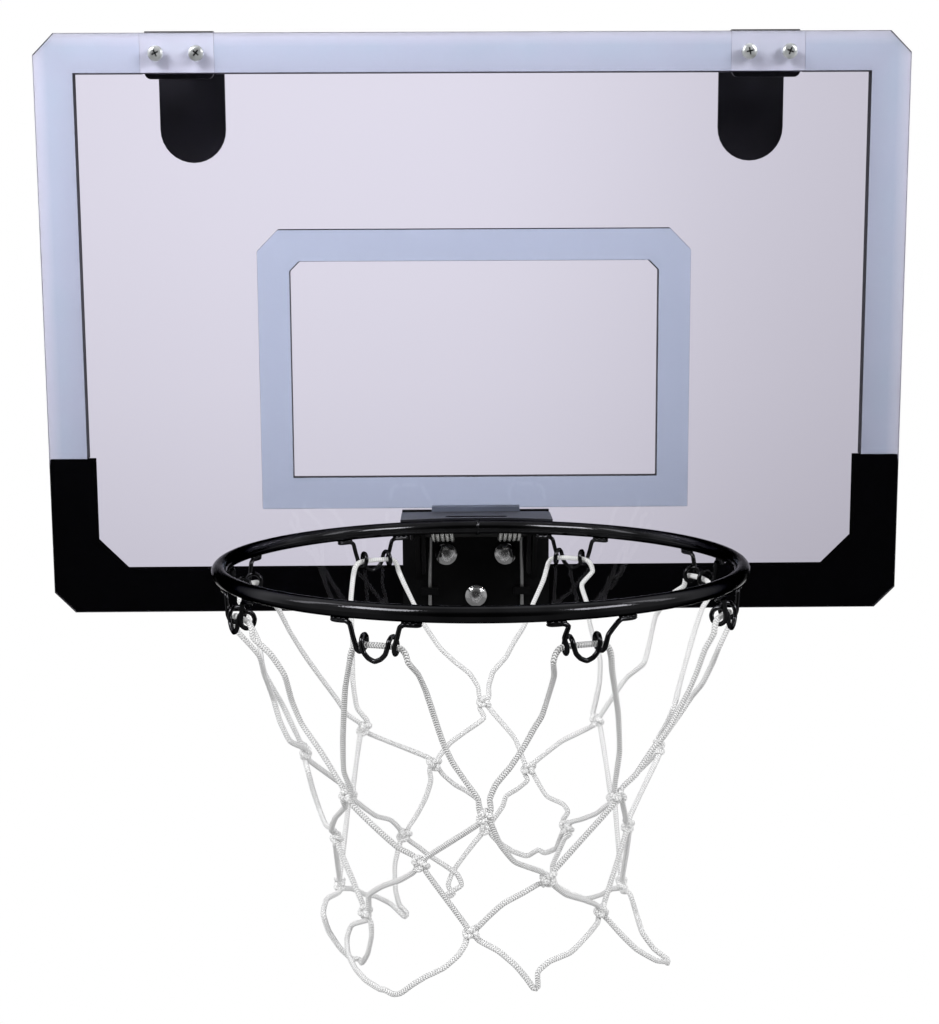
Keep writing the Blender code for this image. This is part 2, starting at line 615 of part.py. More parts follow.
def make_rim_plate():
    """The rim plate: a sheet cut to the ring's curve, a raised tongue and two hinge lugs."""
    edge_height = RIM_PLATE_BOTTOM - RING_Z
    tube_half = math.sqrt(max(RING_TUBE ** 2 - edge_height ** 2, 0))
    front = RING_RADIUS + tube_half + GAP
    x, c = BRACKET_WIDTH / 2, RIM_PLATE_CORNER
    back = PANEL_FRONT - RIM_PLATE_BACK
    side = math.degrees(math.asin(x / front))
    right = [(x - c, back)] + arc((x - c, back - c), c, 90, 0, 4)[1:]
    curved = arc((0, RING_Y), front, 90 - side, 90 + side, 16)
    loop = right + curved + mirrored(right)
    slot_y, half_slot = PANEL_FRONT - SLOT_REACH, SLOT_WIDTH / 2 - SLOT_LENGTH / 2
    slot = arc((half_slot, slot_y), SLOT_LENGTH / 2, -90, 90, 6)
    slot += arc((-half_slot, slot_y), SLOT_LENGTH / 2, 90, 270, 6)
    plate = outline("rim_plate", [loop, slot], RIM_PLATE_DEPTH, SATIN_BLACK)
    plate.location = (0, 0, (RIM_PLATE_TOP + RIM_PLATE_BOTTOM) / 2)
    plate = to_mesh(plate)

    low, high = RIM_PLATE_BOTTOM, TONGUE_BOTTOM
    deep, ramp = RIM_PLATE_DEPTH, back + RAMP_LENGTH
    end = PANEL_FRONT - TONGUE_BACK
    inside, slope = back - 1.5 * deep, 0.3 * deep
    joggle = [(inside, low), (back, low), (ramp, high), (end, high), (end, high + deep),
              (ramp - slope, high + deep), (back - slope, low + deep), (inside, low + deep)]
    tongue = side_plate("tongue_step", [joggle], -TONGUE_WIDTH / 2, TONGUE_WIDTH / 2, None, CUTTERS)
    join(plate, [tongue], "UNION")
    y, z, r = HINGE_Y, HINGE_Z, EAR_RADIUS
    root = (RIM_PLATE_TOP + RIM_PLATE_BOTTOM) / 2
    lug = [(y - r - RIM_LUG_FLARE, root), (y - r, z), (y - HEEL_FRONT, z - HEEL_DROP),
           (y + HEEL_BACK, z - HEEL_DROP), (y + r, z), (y + r + RIM_LUG_FLARE / 2, root)]
    for name, sign in (("left", -1), ("right", 1)):
        ends = sorted((sign * RIM_LUG_INNER, sign * (RIM_LUG_INNER + RIM_LUG_DEPTH)))
        join(plate, [side_plate(f"rim_lug_{name}", [lug], *ends, None, CUTTERS)], "UNION")
    hole = rod("rim_hole", PIN_HOLE, (-x, y, z), (x, y, z), collection=CUTTERS)
    join(plate, [hole], "DIFFERENCE")


def make_ring():
    """The round ring, its axis upright."""
    bpy.ops.mesh.primitive_torus_add(
        major_segments=72, minor_segments=10, major_radius=RING_RADIUS, minor_radius=RING_TUBE,
        location=(0, RING_Y, RING_Z))
    ring = bpy.context.active_object
    ring.name = "rim_ring"
    for collection in ring.users_collection:
        collection.objects.unlink(ring)
    HOOP.objects.link(ring)
    ring.data.materials.append(material(GLOSS_BLACK))


def by_ring(angle, along, inward, height):
    """A point near the ring: degrees, then metres along, in and up from its centre line."""
    turn = math.radians(angle) + along / RING_RADIUS
    reach = RING_RADIUS - inward
    return (reach * math.sin(turn), RING_Y - reach * math.cos(turn), RING_Z + height)


def net_hook_route(angle, lean):
    """Half of a wire hook in along, inward and height, then its mirror image.

    The lean moves both welded tails along the ring, because the hooks are bent by hand.
    """
    r, deep = CURL_RADIUS, -CURL_DROP
    weld = -(RING_TUBE + GAP + HOOK_WIRE)
    half = [(-WELD_REACH + WELD_LENGTH * i / 3, 0, weld) for i in range(4)]
    half += [(-WELD_REACH + WELD_LENGTH + 0.46 * r, 0, weld - 0.29 * r),
             (-CURL_REACH - CURL_PITCH / 2 - 0.31 * r, 0, deep + r)]
    steps = 10
    for i in range(steps + 1):
        turn = 2 * math.pi * i / steps
        along = -CURL_REACH - CURL_PITCH / 2 + CURL_PITCH * i / steps
        half.append((along, r - r * math.cos(turn), deep - r * math.sin(turn)))
    half += [(-0.65 * CURL_REACH, 0, deep - 0.91 * r),
             (-0.38 * CURL_REACH, 0, -VALLEY_DROP + 0.31 * r), (0, 0, -VALLEY_DROP)]
    whole = half + [(-along, inward, height) for along, inward, height in reversed(half[:-1])]
    tail = 5
    last = len(whole) - tail
    return [by_ring(angle, along + (lean if k < tail or k >= last else 0), inward, height)
            for k, (along, inward, height) in enumerate(whole)]


def make_net_hooks():
    """Eight wire hooks welded under the ring, each with two curls for the cord."""
    for number, (angle, lean) in enumerate(zip(HOOK_ANGLES, HOOK_LEANS), 1):
        points = net_hook_route(angle, lean)
        tube(f"net_hook_{number}", points, HOOK_WIRE, GLOSS_BLACK, 1)
    gap = least_gap(points, [HOOK_WIRE] * len(points), 6)
    print(f"net hook least gap to itself {gap * 1000:.2f} mm")


def knot_half(knot, hand, lower):
    """Three points through one half of a knot, on the left (-1) or the right (1) of it."""
    angle, out, down = knot
    offset = CORD_RADIUS * KNOT_SWELL + KNOT_GAP / 2
    points = []
    for step in (-1, 0, 1):
        spread = offset + (0 if step == 0 else KNOT_FLARE)
        turn = angle + math.degrees(hand * spread / (out * RING_RADIUS))
        points.append(by_axis((turn, out, down + lower * step * KNOT_HALF_HEIGHT / NET_LENGTH)))
    return points


def by_axis(place):
    """A point in degrees, share of the ring's radius and share of the net's length."""
    angle, out, down = place
    turn, radius = math.radians(angle), out * RING_RADIUS
    return (radius * math.sin(turn), RING_Y - radius * math.cos(turn), RING_Z - down * NET_LENGTH)


def cord_route(number):
    """One closed cord, down its right side and up its left, and which points are knots."""
    angle = HOOK_ANGLES[number]
    after = (number + 1) % len(HOOK_ANGLES)
    sag = -CURL_DROP - (CURL_RADIUS - HOOK_WIRE - CORD_RADIUS - CORD_SLACK)
    r = CURL_RADIUS
    reach = CURL_REACH + CURL_PITCH / 2
    half = [(0, r, sag + 0.09 * r), (reach - 0.4 * r, r, sag + 0.03 * r),
            (reach + 0.51 * r, r, sag - 0.14 * r), (reach + 1.03 * r, r, sag - 0.74 * r),
            (reach + 1.29 * r, r, sag - 1.66 * r)]
    top = [(-along, inward, height) for along, inward, height in reversed(half)] + half[1:]
    bottom = Vector(by_axis(LOOPS[number]))
    turn = math.radians(LOOPS[number][0])
    aside = Vector((math.cos(turn), math.sin(turn), 0)) * LOOP_HALF_WIDTH
    lift = Vector((0, 0, LOOP_LIFT))
    lowest = [tuple(bottom + aside + lift), tuple(bottom), tuple(bottom - aside + lift)]
    stops = [knot_half(ROW_1[after], -1, 1), knot_half(ROW_2[number], 1, 1),
             knot_half(ROW_3[after], -1, 1), lowest, knot_half(ROW_3[number], 1, -1),
             knot_half(ROW_2[number], -1, -1), knot_half(ROW_1[number], 1, -1)]
    route = [(by_ring(angle, *point), 0) for point in top]
    for stretch, stop in enumerate(stops + [[]]):
        route += [(by_axis(place), 0) for place in BENDS.get((number + 1, stretch), ())]
        marks = (0, 0, 0) if stop is lowest else (1, 2, 1)
        route += list(zip(stop, marks))
    return route


def smooth(route, spacing):
    """A closed smooth curve through the route, with extra points on its long stretches."""
    count = len(route)
    points, swell = [], []
    for i in range(count):
        a, b, c, d = (Vector(route[(i + k) % count][0]) for k in (-1, 0, 1, 2))
        mark = route[i][1]
        points.append(tuple(b))
        swell.append((1.0, 1.12, KNOT_SWELL)[mark])
        length = (c - b).length
        pieces = max(1, round(length / spacing))
        pull = 0.5 * length
        out_way = (c - a).normalized() * pull
        in_way = (d - b).normalized() * pull
        for step in range(1, pieces):
            t = step / pieces
            point = (b * (2 * t ** 3 - 3 * t ** 2 + 1) + out_way * (t ** 3 - 2 * t ** 2 + t)
                     + c * (3 * t ** 2 - 2 * t ** 3) + in_way * (t ** 3 - t ** 2))
            points.append(tuple(point))
            swell.append(1.0)
    return points, swell


def make_net():
    """Eight cords, each threaded through one hook's curls."""
    for number in range(len(HOOK_ANGLES)):
        points, swell = smooth(cord_route(number), CORD_STEP)
        tube(f"net_cord_{number + 1}", points, CORD_RADIUS, CORD, 1, swell, closed=True)
        gap = least_gap(points, [CORD_RADIUS * s for s in swell], 5)
        print(f"net_cord_{number + 1} {len(points)} points, least gap {gap * 1000:.2f} mm")


def hang_on_axes():
    """Puts the rim and its net under empties that stand on their joints' axes."""
    places = {"rim_tilt_axis": (0, HINGE_Y, HINGE_Z), "net_hang_axis": (0, RING_Y, RING_Z)}
    for name, place in places.items():
        add(name, None, None).location = place
    bpy.context.view_layer.update()
    tilt, hang = (bpy.data.objects[name] for name in places)
    for obj in HOOP.objects:
        if obj == hang or obj.name.startswith(("rim_plate", "rim_ring", "net_hook")):
            obj.parent = tilt
        elif obj.name.startswith("net_cord"):
            obj.parent = hang
        if obj.parent:
            obj.matrix_parent_inverse = obj.parent.matrix_world.inverted()


def shade_round_pieces():
    """Smooth shading on the meshes, with their sharp edges kept."""
    for obj in HOOP.objects:
        if obj.type == "MESH" and obj.data.polygons:
            obj.data.shade_smooth()
            obj.data.set_sharp_from_angle(angle=math.radians(35))


HOOP, CUTTERS = clear_scene()
make_panel()
make_foam()
make_door_hook("left", -1)
make_door_hook("right", 1)
make_screws()
make_bolts()
make_bracket()
make_pin()
make_springs()
make_rim_plate()
make_ring()
make_net_hooks()
make_net()
hang_on_axes()
shade_round_pieces()
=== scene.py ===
"""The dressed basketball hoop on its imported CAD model.

Metres, +Z up, the front faces -Y. Angles round the ring are in degrees from its front (-Y)
towards +X.
"""
import math

import bpy
from mathutils import Matrix, Vector


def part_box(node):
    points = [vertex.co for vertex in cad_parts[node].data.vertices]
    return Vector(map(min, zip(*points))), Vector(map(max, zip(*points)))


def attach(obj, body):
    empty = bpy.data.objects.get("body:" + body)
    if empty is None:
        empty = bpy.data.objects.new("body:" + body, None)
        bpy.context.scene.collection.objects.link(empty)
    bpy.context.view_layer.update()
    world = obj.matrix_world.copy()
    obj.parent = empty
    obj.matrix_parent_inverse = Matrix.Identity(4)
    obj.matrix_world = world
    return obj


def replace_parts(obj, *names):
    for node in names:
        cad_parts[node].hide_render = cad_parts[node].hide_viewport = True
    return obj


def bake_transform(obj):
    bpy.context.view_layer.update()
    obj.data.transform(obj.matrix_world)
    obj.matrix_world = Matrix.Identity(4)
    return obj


# Camera: millimetres, shares of the picture, metres, radians
LENS, SENSOR = 62.930374, 36
SHIFT_X, SHIFT_Y = -0.0031836, 0.0367383
CAMERA_PLACE = (-0.0134557, -0.9696017, -0.1084341)
PITCH, YAW, ROLL = 0.1588, 0.0124, -0.0051

# Lamps: name, place, width and height, watts
LAMPS = (("key", (-1.0, -1.05, 0.85), (0.75, 0.6), 17),
         ("fill", (1.25, -1.15, 0.65), (0.7, 0.55), 13),
         ("left side", (-1.3, -0.35, 0.65), (0.25, 0.9), 2.2),
         ("right side", (1.3, -0.35, 0.65), (0.25, 0.9), 1.8))
LAMP_AIM = (0, -0.08, -0.2)

# Floor
FLOOR_Z, FLOOR_RADIUS = -1.7, 4
FLOOR_BACK = 0.5

# Sizes that the looks share with the CAD
GAP = 0.0003
PANEL_FRONT = -0.0113
PANEL_TOP, PANEL_BOTTOM = 0.010, -0.295
PANEL_SIDE = 0.2285
TARGET_TOP = -0.0903
BRACKET_FRONT = -0.0141
HINGE_Y, HINGE_Z = -0.0313, -0.2495
PLATE_TOP = -0.2391
SLOT_Y = -0.0398
RING_Y, RING_Z = -0.1658, -0.244
RING_RADIUS, RING_TUBE = 0.118, 0.0035
SCREWS = ((-0.1645, -0.0006), (-0.1435, -0.0006), (0.1435, -0.0006), (0.1645, -0.0006))
BOLTS = ((-0.016, -0.2636), (0.016, -0.2636), (0.0, -0.2864))

# Board: where its outline begins, the black band's upper edge, the top strip's lower edge, how
# far in from the outline the foam changes colour, and how deep a pad's end faces reach
OUTLINE_SIDE, OUTLINE_TOP, OUTLINE_BOTTOM = 0.21, 0.0085, -0.293
BAND_EDGE = (-0.2155, -0.2125)
STRIP_LOW = PANEL_TOP - 0.0203
OUTER_FADE, INNER_FADE = (0.0, 0.007), (0.008, 0.021)
PAD_END = 0.0004

# Wire hooks
HOOK_WIRE = 0.001
CURL_RADIUS = 0.0035
CURL_PITCH = 0.0028
CURL_DROP = 0.0140
CURL_REACH = 0.0071
VALLEY_DROP = 0.0203
WELD_REACH = 0.0200
WELD_LENGTH = 0.0075
HOOK_ANGLES = (19.9, 65.4, 112.5, 155.3, 207.1, 253.0, 295.3, 338.1)
HOOK_LEANS = (0.0030, 0.0, 0.0, 0.0, 0.0, 0.0, 0.0, 0.0)
HOOK_COATED = 1.04
HOOK_STEP = 0.0008
BEAD_RADIUS, BEAD_SUNK = 0.0010, 0.0004
BEAD_SHARES = (0.25, 0.6, 0.9)

# Springs: sizes, then the heights of the inner leg's points and the outer leg's foot and end
SPRING_WIRE = 0.001
SPRING_TURNS = 5
SPRING_INNER = 0.0112
SPRING_OUTER = 0.0242
SPRING_LEG = 0.0249
SPRING_TOP, SPRING_LOW, SPRING_BEND = -0.2403, -0.2425, -0.2436
SPRING_FOOT, SPRING_END = -0.28, -0.2915
SPRING_SLANT = 0.0012
COIL_RADIUS, COIL_STEPS = 0.0039, 28

# Net
CORD_RADIUS = 0.0012
ROUTE_STEP, CORD_STEP = 0.0012, 0.0014
CORD_SLACK = 0.0005
NET_LENGTH = 0.180
KNOT_OFFSET = 0.0014
KNOT_FLARE = 0.0011
KNOT_HALF_HEIGHT = 0.003
KNOT_STEPS, KNOT_STEP = 96, 0.0006
KNOT_CORD = 0.00124
KNOT_WIDTH = 0.00112
KNOT_HEIGHT = 0.00082
KNOT_DEPTH = 0.00145
LOOP_LIFT = 0.0012
BRAID_CELL = 0.00112
BRAID_COLUMNS = 4
BRAID_SLANT = 1.1

# Knots in order round the ring, in three rows, and each cord's lowest loop. All places are in
# degrees and in thousandths of the ring's radius and of the net's length
ROW_1 = ((0, 729, 511), (42, 729, 500), (91, 699, 481), (136, 712, 497), (178, 720, 475),
         (223, 712, 514), (268, 691, 494), (317, 729, 497))
ROW_2 = ((22.5, 610, 700), (66, 606, 636), (112, 581, 664), (158.5, 576, 636), (200, 559, 617),
         (248, 568, 642), (293, 606, 667), (337.5, 610, 661))
ROW_3 = ((-5, 534, 842), (53, 559, 839), (93, 559, 853), (136, 517, 772), (177, 534, 808),
         (218, 517, 797), (270, 564, 839), (307, 559, 833))
LOOPS = ((17.4, 615, 972), (70.1, 755, 998), (131.1, 500, 958), (151.4, 570, 873),
         (196.9, 441, 979), (229.5, 413, 998), (297.1, 530, 993), (330, 678, 981))
LOOP_HALF_WIDTHS = (0.0013, 0.0014, 0.002, 0.003, 0.002, 0.0016, 0.0022, 0.004)
# Each cord's bends, by its hook and the stretch of its route
BENDS = {
    (1, 0): ((27.2, 949, 147), (32.7, 864, 267), (37.8, 788, 378)),
    (1, 2): ((25, 603, 722), (30.6, 591, 753), (39.7, 577, 782), (47.6, 567, 809)),
    (1, 3): ((49.1, 570, 858), (41.5, 590, 871), (31.5, 610, 897), (22.5, 620, 906),
        (18.2, 620, 928)),
    (1, 4): ((14.6, 610, 945), (10.9, 600, 912), (4.9, 570, 879)),
    (1, 5): ((357.4, 541, 826), (1.3, 552, 798), (6.8, 568, 762), (14.4, 588, 732), (20, 603, 710)),
    (1, 6): ((9.2, 669, 636), (4.3, 703, 583)),
    (1, 7): ((1.3, 730, 470), (3, 735, 433), (6.7, 745, 393), (10.1, 760, 345), (12.8, 780, 295),
        (14.3, 800, 265), (15.1, 830, 220), (15.3, 890, 160)),
    (2, 0): ((70.4, 935, 173), (74.2, 900, 225), (76.8, 860, 282), (82.2, 815, 331),
        (82.6, 765, 385), (76.9, 720, 420)),
    (2, 3): ((84.1, 584, 858), (83.9, 611, 911), (72.4, 650, 932), (70.7, 700, 966)),
    (2, 4): ((63.4, 735, 971), (58.1, 680, 932), (55.6, 630, 894), (54.3, 580, 860)),
    (2, 7): ((47.5, 750, 457), (52.1, 780, 401), (55.9, 820, 350), (57.8, 850, 302),
        (58.3, 880, 260), (58.6, 910, 211), (58.6, 940, 154)),
    (3, 0): ((121.3, 950, 137), (124.5, 900, 199), (123.5, 850, 275), (122.5, 810, 324),
        (127.6, 780, 369), (130.8, 740, 425)),
    (3, 2): ((114.8, 573, 682), (121, 555, 716), (128.3, 538, 741)),
    (3, 3): ((136.1, 510, 801), (139.4, 500, 847), (142.9, 500, 891), (140.5, 500, 940)),
    (3, 4): ((121.5, 510, 951), (113, 530, 927), (105.1, 550, 895)),
    (3, 7): ((85.5, 720, 412), (82.7, 751, 354), (95.2, 790, 323), (98.7, 830, 264),
        (103.1, 880, 208), (105.4, 930, 147)),
    (4, 0): ((162.2, 945, 149), (164.5, 910, 213), (166.5, 870, 273), (169.2, 840, 318),
        (171.3, 810, 357), (175.2, 780, 397), (176.5, 750, 435)),
    (4, 1): ((174.1, 690, 507), (166.1, 636, 563)),
    (4, 2): ((158.8, 570, 668), (163.9, 561, 698), (168.2, 555, 716), (169.5, 549, 744)),
    (4, 3): ((171.6, 540, 847), (165.5, 550, 873), (158.9, 560, 886)),
    (4, 4): ((144.9, 560, 850), (140.7, 530, 810)),
    (4, 5): ((136.1, 529, 730), (139.6, 536, 713), (149.2, 551, 703)),
    (4, 6): ((152.8, 611, 596), (147.1, 646, 559)),
    (4, 7): ((138.3, 735, 461), (138.4, 770, 400), (140.3, 810, 342), (143.5, 840, 303),
        (146.6, 870, 246), (148.7, 905, 196), (151.1, 935, 151)),
    (5, 0): ((214.8, 942, 133), (216.5, 914, 180), (218, 875, 246), (219.9, 833, 316),
        (222.5, 788, 389), (223.6, 745, 460)),
    (5, 2): ((201.9, 550, 662), (204.8, 540, 706), (210, 530, 751)),
    (5, 3): ((211.3, 510, 835), (205, 500, 868), (197.5, 480, 899), (192.3, 460, 920),
        (190.1, 450, 951)),
    (5, 4): ((197.6, 450, 950), (194.3, 470, 916), (187.9, 490, 876), (182.3, 510, 841)),
    (5, 5): ((179.3, 539, 761), (180.6, 543, 727), (185.7, 547, 701), (190.8, 550, 682),
        (196.1, 555, 651)),
    (5, 6): ((191.7, 609, 572), (184.6, 648, 546), (178, 689, 516)),
    (5, 7): ((180.1, 735, 433), (182.8, 760, 398), (187.3, 790, 367), (191.5, 820, 330),
        (195.4, 860, 269), (198, 900, 205), (200, 935, 150)),
    (6, 0): ((260.7, 892, 211), (272.6, 841, 266), (268.1, 776, 368), (267.5, 710, 467)),
    (6, 3): ((251.7, 550, 895), (244.7, 520, 924), (240.3, 500, 934), (232.7, 470, 965)),
    (6, 4): ((228.6, 450, 972), (228.8, 470, 932), (225.5, 500, 870), (222, 510, 828)),
    (6, 5): ((220, 522, 778), (224.5, 532, 748), (232.6, 543, 726)),
    (6, 7): ((228.1, 745, 470), (231, 770, 422), (235.3, 810, 354), (238.2, 850, 296),
        (241.1, 890, 229), (243.1, 930, 159)),
    (7, 0): ((304.2, 925, 152), (305.5, 880, 205), (302.8, 830, 277), (302.7, 790, 338),
        (308.2, 755, 401)),
    (7, 1): ((313.9, 703, 532), (303.4, 663, 587), (293.9, 629, 643)),
    (7, 3): ((309.6, 555, 854), (309.5, 550, 894), (305.3, 540, 948)),
    (7, 4): ((295.3, 560, 983), (294.1, 600, 955), (292.1, 640, 909), (291.7, 660, 861),
        (282, 620, 850)),
    (7, 6): ((284.1, 622, 649), (275.7, 639, 622), (274.6, 661, 577), (274.8, 681, 520)),
    (7, 7): ((275.3, 746, 444), (275.6, 783, 390), (275.8, 807, 329), (285.7, 850, 247),
        (291.7, 890, 183)),
    (8, 0): ((345.5, 910, 150), (346.2, 860, 192), (347, 840, 228), (347.6, 820, 259),
        (349.3, 785, 327), (351.5, 760, 378), (355, 745, 427), (358.1, 735, 467)),
    (8, 3): ((352.8, 550, 864), (350.6, 585, 886), (346, 620, 912), (340.6, 650, 930),
        (336.5, 670, 951)),
    (8, 4): ((325.1, 675, 977), (318.5, 665, 969), (311.9, 650, 955), (305.4, 630, 934),
        (301.7, 610, 906), (302.1, 590, 874)),
    (8, 5): ((310.9, 570, 782), (319.8, 581, 743), (328.5, 593, 714), (334.8, 603, 685)),
    (8, 6): ((330.7, 644, 619), (324.6, 695, 564)),
    (8, 7): ((319.2, 771, 428), (323, 831, 331), (328.2, 915, 197)),
}

# Values that each material gives the shared finish
FINISH_VALUES = ("Grain Scale", "Cloud Scale", "Roughness", "Roughness Spread")


# Camera

def make_camera():
    """The photograph's own view."""
    data = bpy.data.cameras.new("camera")
    data.lens, data.sensor_width = LENS, SENSOR
    data.shift_x, data.shift_y = SHIFT_X, SHIFT_Y
    data.clip_start, data.clip_end = 0.01, 50
    camera = bpy.data.objects.new("camera", data)
    bpy.context.scene.collection.objects.link(camera)
    ahead = Vector((math.sin(YAW) * math.cos(PITCH), math.cos(YAW) * math.cos(PITCH),
                    -math.sin(PITCH)))
    level = Vector((math.cos(YAW), -math.sin(YAW), 0))
    upright = level.cross(ahead)
    right = math.cos(ROLL) * level + math.sin(ROLL) * upright
    up = math.cos(ROLL) * upright - math.sin(ROLL) * level
    turn = Matrix((right, up, -ahead)).transposed()
    camera.matrix_world = Matrix.Translation(CAMERA_PLACE) @ turn.to_4x4()
    bpy.context.scene.camera = camera


# Nodes

def join(tree, source, target):
    """Links two sockets, or writes a plain value on the target."""
    if isinstance(source, (int, float, tuple)):
        target.default_value = source
    else:
        tree.links.new(source, target)


def feed(tree, made, sockets):
    """Joins a source to each of a node's sockets, by name or number."""
    for socket, source in sockets.items():
        join(tree, source, made.inputs[socket])


def node(tree, kind, sockets=None, **settings):
    """The outputs of a new node with its settings and its sockets' sources."""
    made = tree.nodes.new(kind)
    for name, value in settings.items():
        setattr(made, name, value)
    feed(tree, made, sockets or {})
    return made.outputs


def maths(tree, operation, *values):
    """A Math node fed by sockets or plain numbers."""
    return node(tree, "ShaderNodeMath", dict(enumerate(values)), operation=operation)[0]


def spread(tree, value, low, high, to_low=0.0, to_high=1.0):
    """The value's range from low to high stretched to a new one."""
    return node(tree, "ShaderNodeMapRange", dict(enumerate((value, low, high, to_low, to_high))))[0]


def axes(tree, vector):
    """The three parts of a vector."""
    return tuple(node(tree, "ShaderNodeSeparateXYZ", {0: vector}))


def grey(level):
    """A grey with its alpha."""
    return (level, level, level, 1)


def blended(tree, share, first, second, blend_type="MIX"):
    """Two colours mixed by a share."""
    return node(tree, "ShaderNodeMix", {"Factor": share, "A": first, "B": second},
                data_type="RGBA", blend_type=blend_type)["Result"]


def either(tree, share, first, second):
    """Two shaders mixed by a share."""
    return node(tree, "ShaderNodeMixShader", {0: share, 1: first, 2: second})[0]


def ramp(tree, value, stops):
    """A grey ramp with soft stops, as position and level."""
    made = tree.nodes.new("ShaderNodeValToRGB")
    made.color_ramp.interpolation = "B_SPLINE"
    elements = made.color_ramp.elements
    while len(elements) < len(stops):
        elements.new(0.5)
    for element, (place, level) in zip(elements, stops):
        element.position = place
        element.color = grey(level)
    join(tree, value, made.inputs["Fac"])
    return made.outputs["Color"]


def object_place(tree):
    """The place on the piece, in metres."""
    return node(tree, "ShaderNodeTexCoord")["Object"]


def noise(tree, place, scale, detail):
    """A noise texture's level."""
    return node(tree, "ShaderNodeTexNoise", {"Vector": place, "Scale": scale,
                                             "Detail": detail})["Fac"]


def bump(tree, height, strength, distance):
    """A normal raised by a height."""
    return node(tree, "ShaderNodeBump", {"Strength": strength, "Distance": distance,
                                         "Height": height})["Normal"]


def finish_group():
    """Shared by coated, plated and foam surfaces: fine grain, and slow clouds in the roughness."""
    tree = bpy.data.node_groups.new("finish", "ShaderNodeTree")
    for name in FINISH_VALUES:
        tree.interface.new_socket(name, in_out="INPUT", socket_type="NodeSocketFloat")
    tree.interface.new_socket("Place", in_out="INPUT", socket_type="NodeSocketVector")
    for name in ("Grain", "Cloud", "Roughness"):
        tree.interface.new_socket(name, in_out="OUTPUT", socket_type="NodeSocketFloat")
    given = node(tree, "NodeGroupInput")
    grain = noise(tree, given["Place"], given["Grain Scale"], 4)
    cloud = noise(tree, given["Place"], given["Cloud Scale"], 3)
    slow = maths(tree, "SUBTRACT", cloud, 0.5)
    swing = maths(tree, "MULTIPLY", slow, given["Roughness Spread"])
    roughness = maths(tree, "MULTIPLY_ADD", swing, 2.0, given["Roughness"])
    feed(tree, tree.nodes.new("NodeGroupOutput"),
         {"Grain": grain, "Cloud": cloud, "Roughness": roughness})
    return tree


def finish(tree, *values):
    """The shared finish placed in a material, with a value for each of FINISH_VALUES."""
    sockets = dict(zip(FINISH_VALUES, values))
    sockets["Place"] = object_place(tree)
    return node(tree, "ShaderNodeGroup", sockets, node_tree=FINISH)


def clouded(tree, look, low, high, colour, other):
    """A colour that turns to another in the finish's clouds."""
    return blended(tree, spread(tree, look["Cloud"], low, high), (*colour, 1), (*other, 1))


def covered(tree, shader, look, colour, raised, depth):
    """Gives a shader its colour and the finish's roughness and raised grain."""
    feed(tree, shader, {"Base Color": colour, "Roughness": look["Roughness"],
                        "Normal": bump(tree, look["Grain"], raised, depth)})


def blank(name):
    """A new material, its node tree and its shader."""
    made = bpy.data.materials.new(name)
    made.use_nodes = True
    return made, made.node_tree, made.node_tree.nodes["Principled BSDF"]


def surface(tree, source):
    """Makes a shader the material's surface."""
    join(tree, source, tree.nodes["Material Output"].inputs["Surface"])


# Materials

def coated_steel(name, colour, roughness, shine, depth=0.00012, clouds=0.05, grain=2600.0,
                 deep=False):
    """Black powder coat: fine orange peel over steel. A deep one stays black at its rims."""
    made, tree, shader = blank(name)
    look = finish(tree, grain, 35.0, roughness, clouds)
    lighter = tuple(c * 1.9 + 0.002 for c in colour)
    covered(tree, shader, look, clouded(tree, look, 0.35, 0.7, colour, lighter), 0.35, depth)
    feed(tree, shader, {"Specular IOR Level": shine})
    if deep:
        feed(tree, shader, {"Metallic": 1.0, "Specular Tint": grey(0.25)})
    return made


def plated(name, colour, roughness, grain, depth, dull, metallic=1.0):
    """Bright plating, with faint ripples and duller clouds."""
    made, tree, shader = blank(name)
    look = finish(tree, grain, 220.0, roughness, 0.06)
    darker = tuple(c * dull for c in colour)
    covered(tree, shader, look, clouded(tree, look, 0.35, 0.75, colour, darker), 0.3, depth)
    feed(tree, shader, {"Metallic": metallic})
    return made


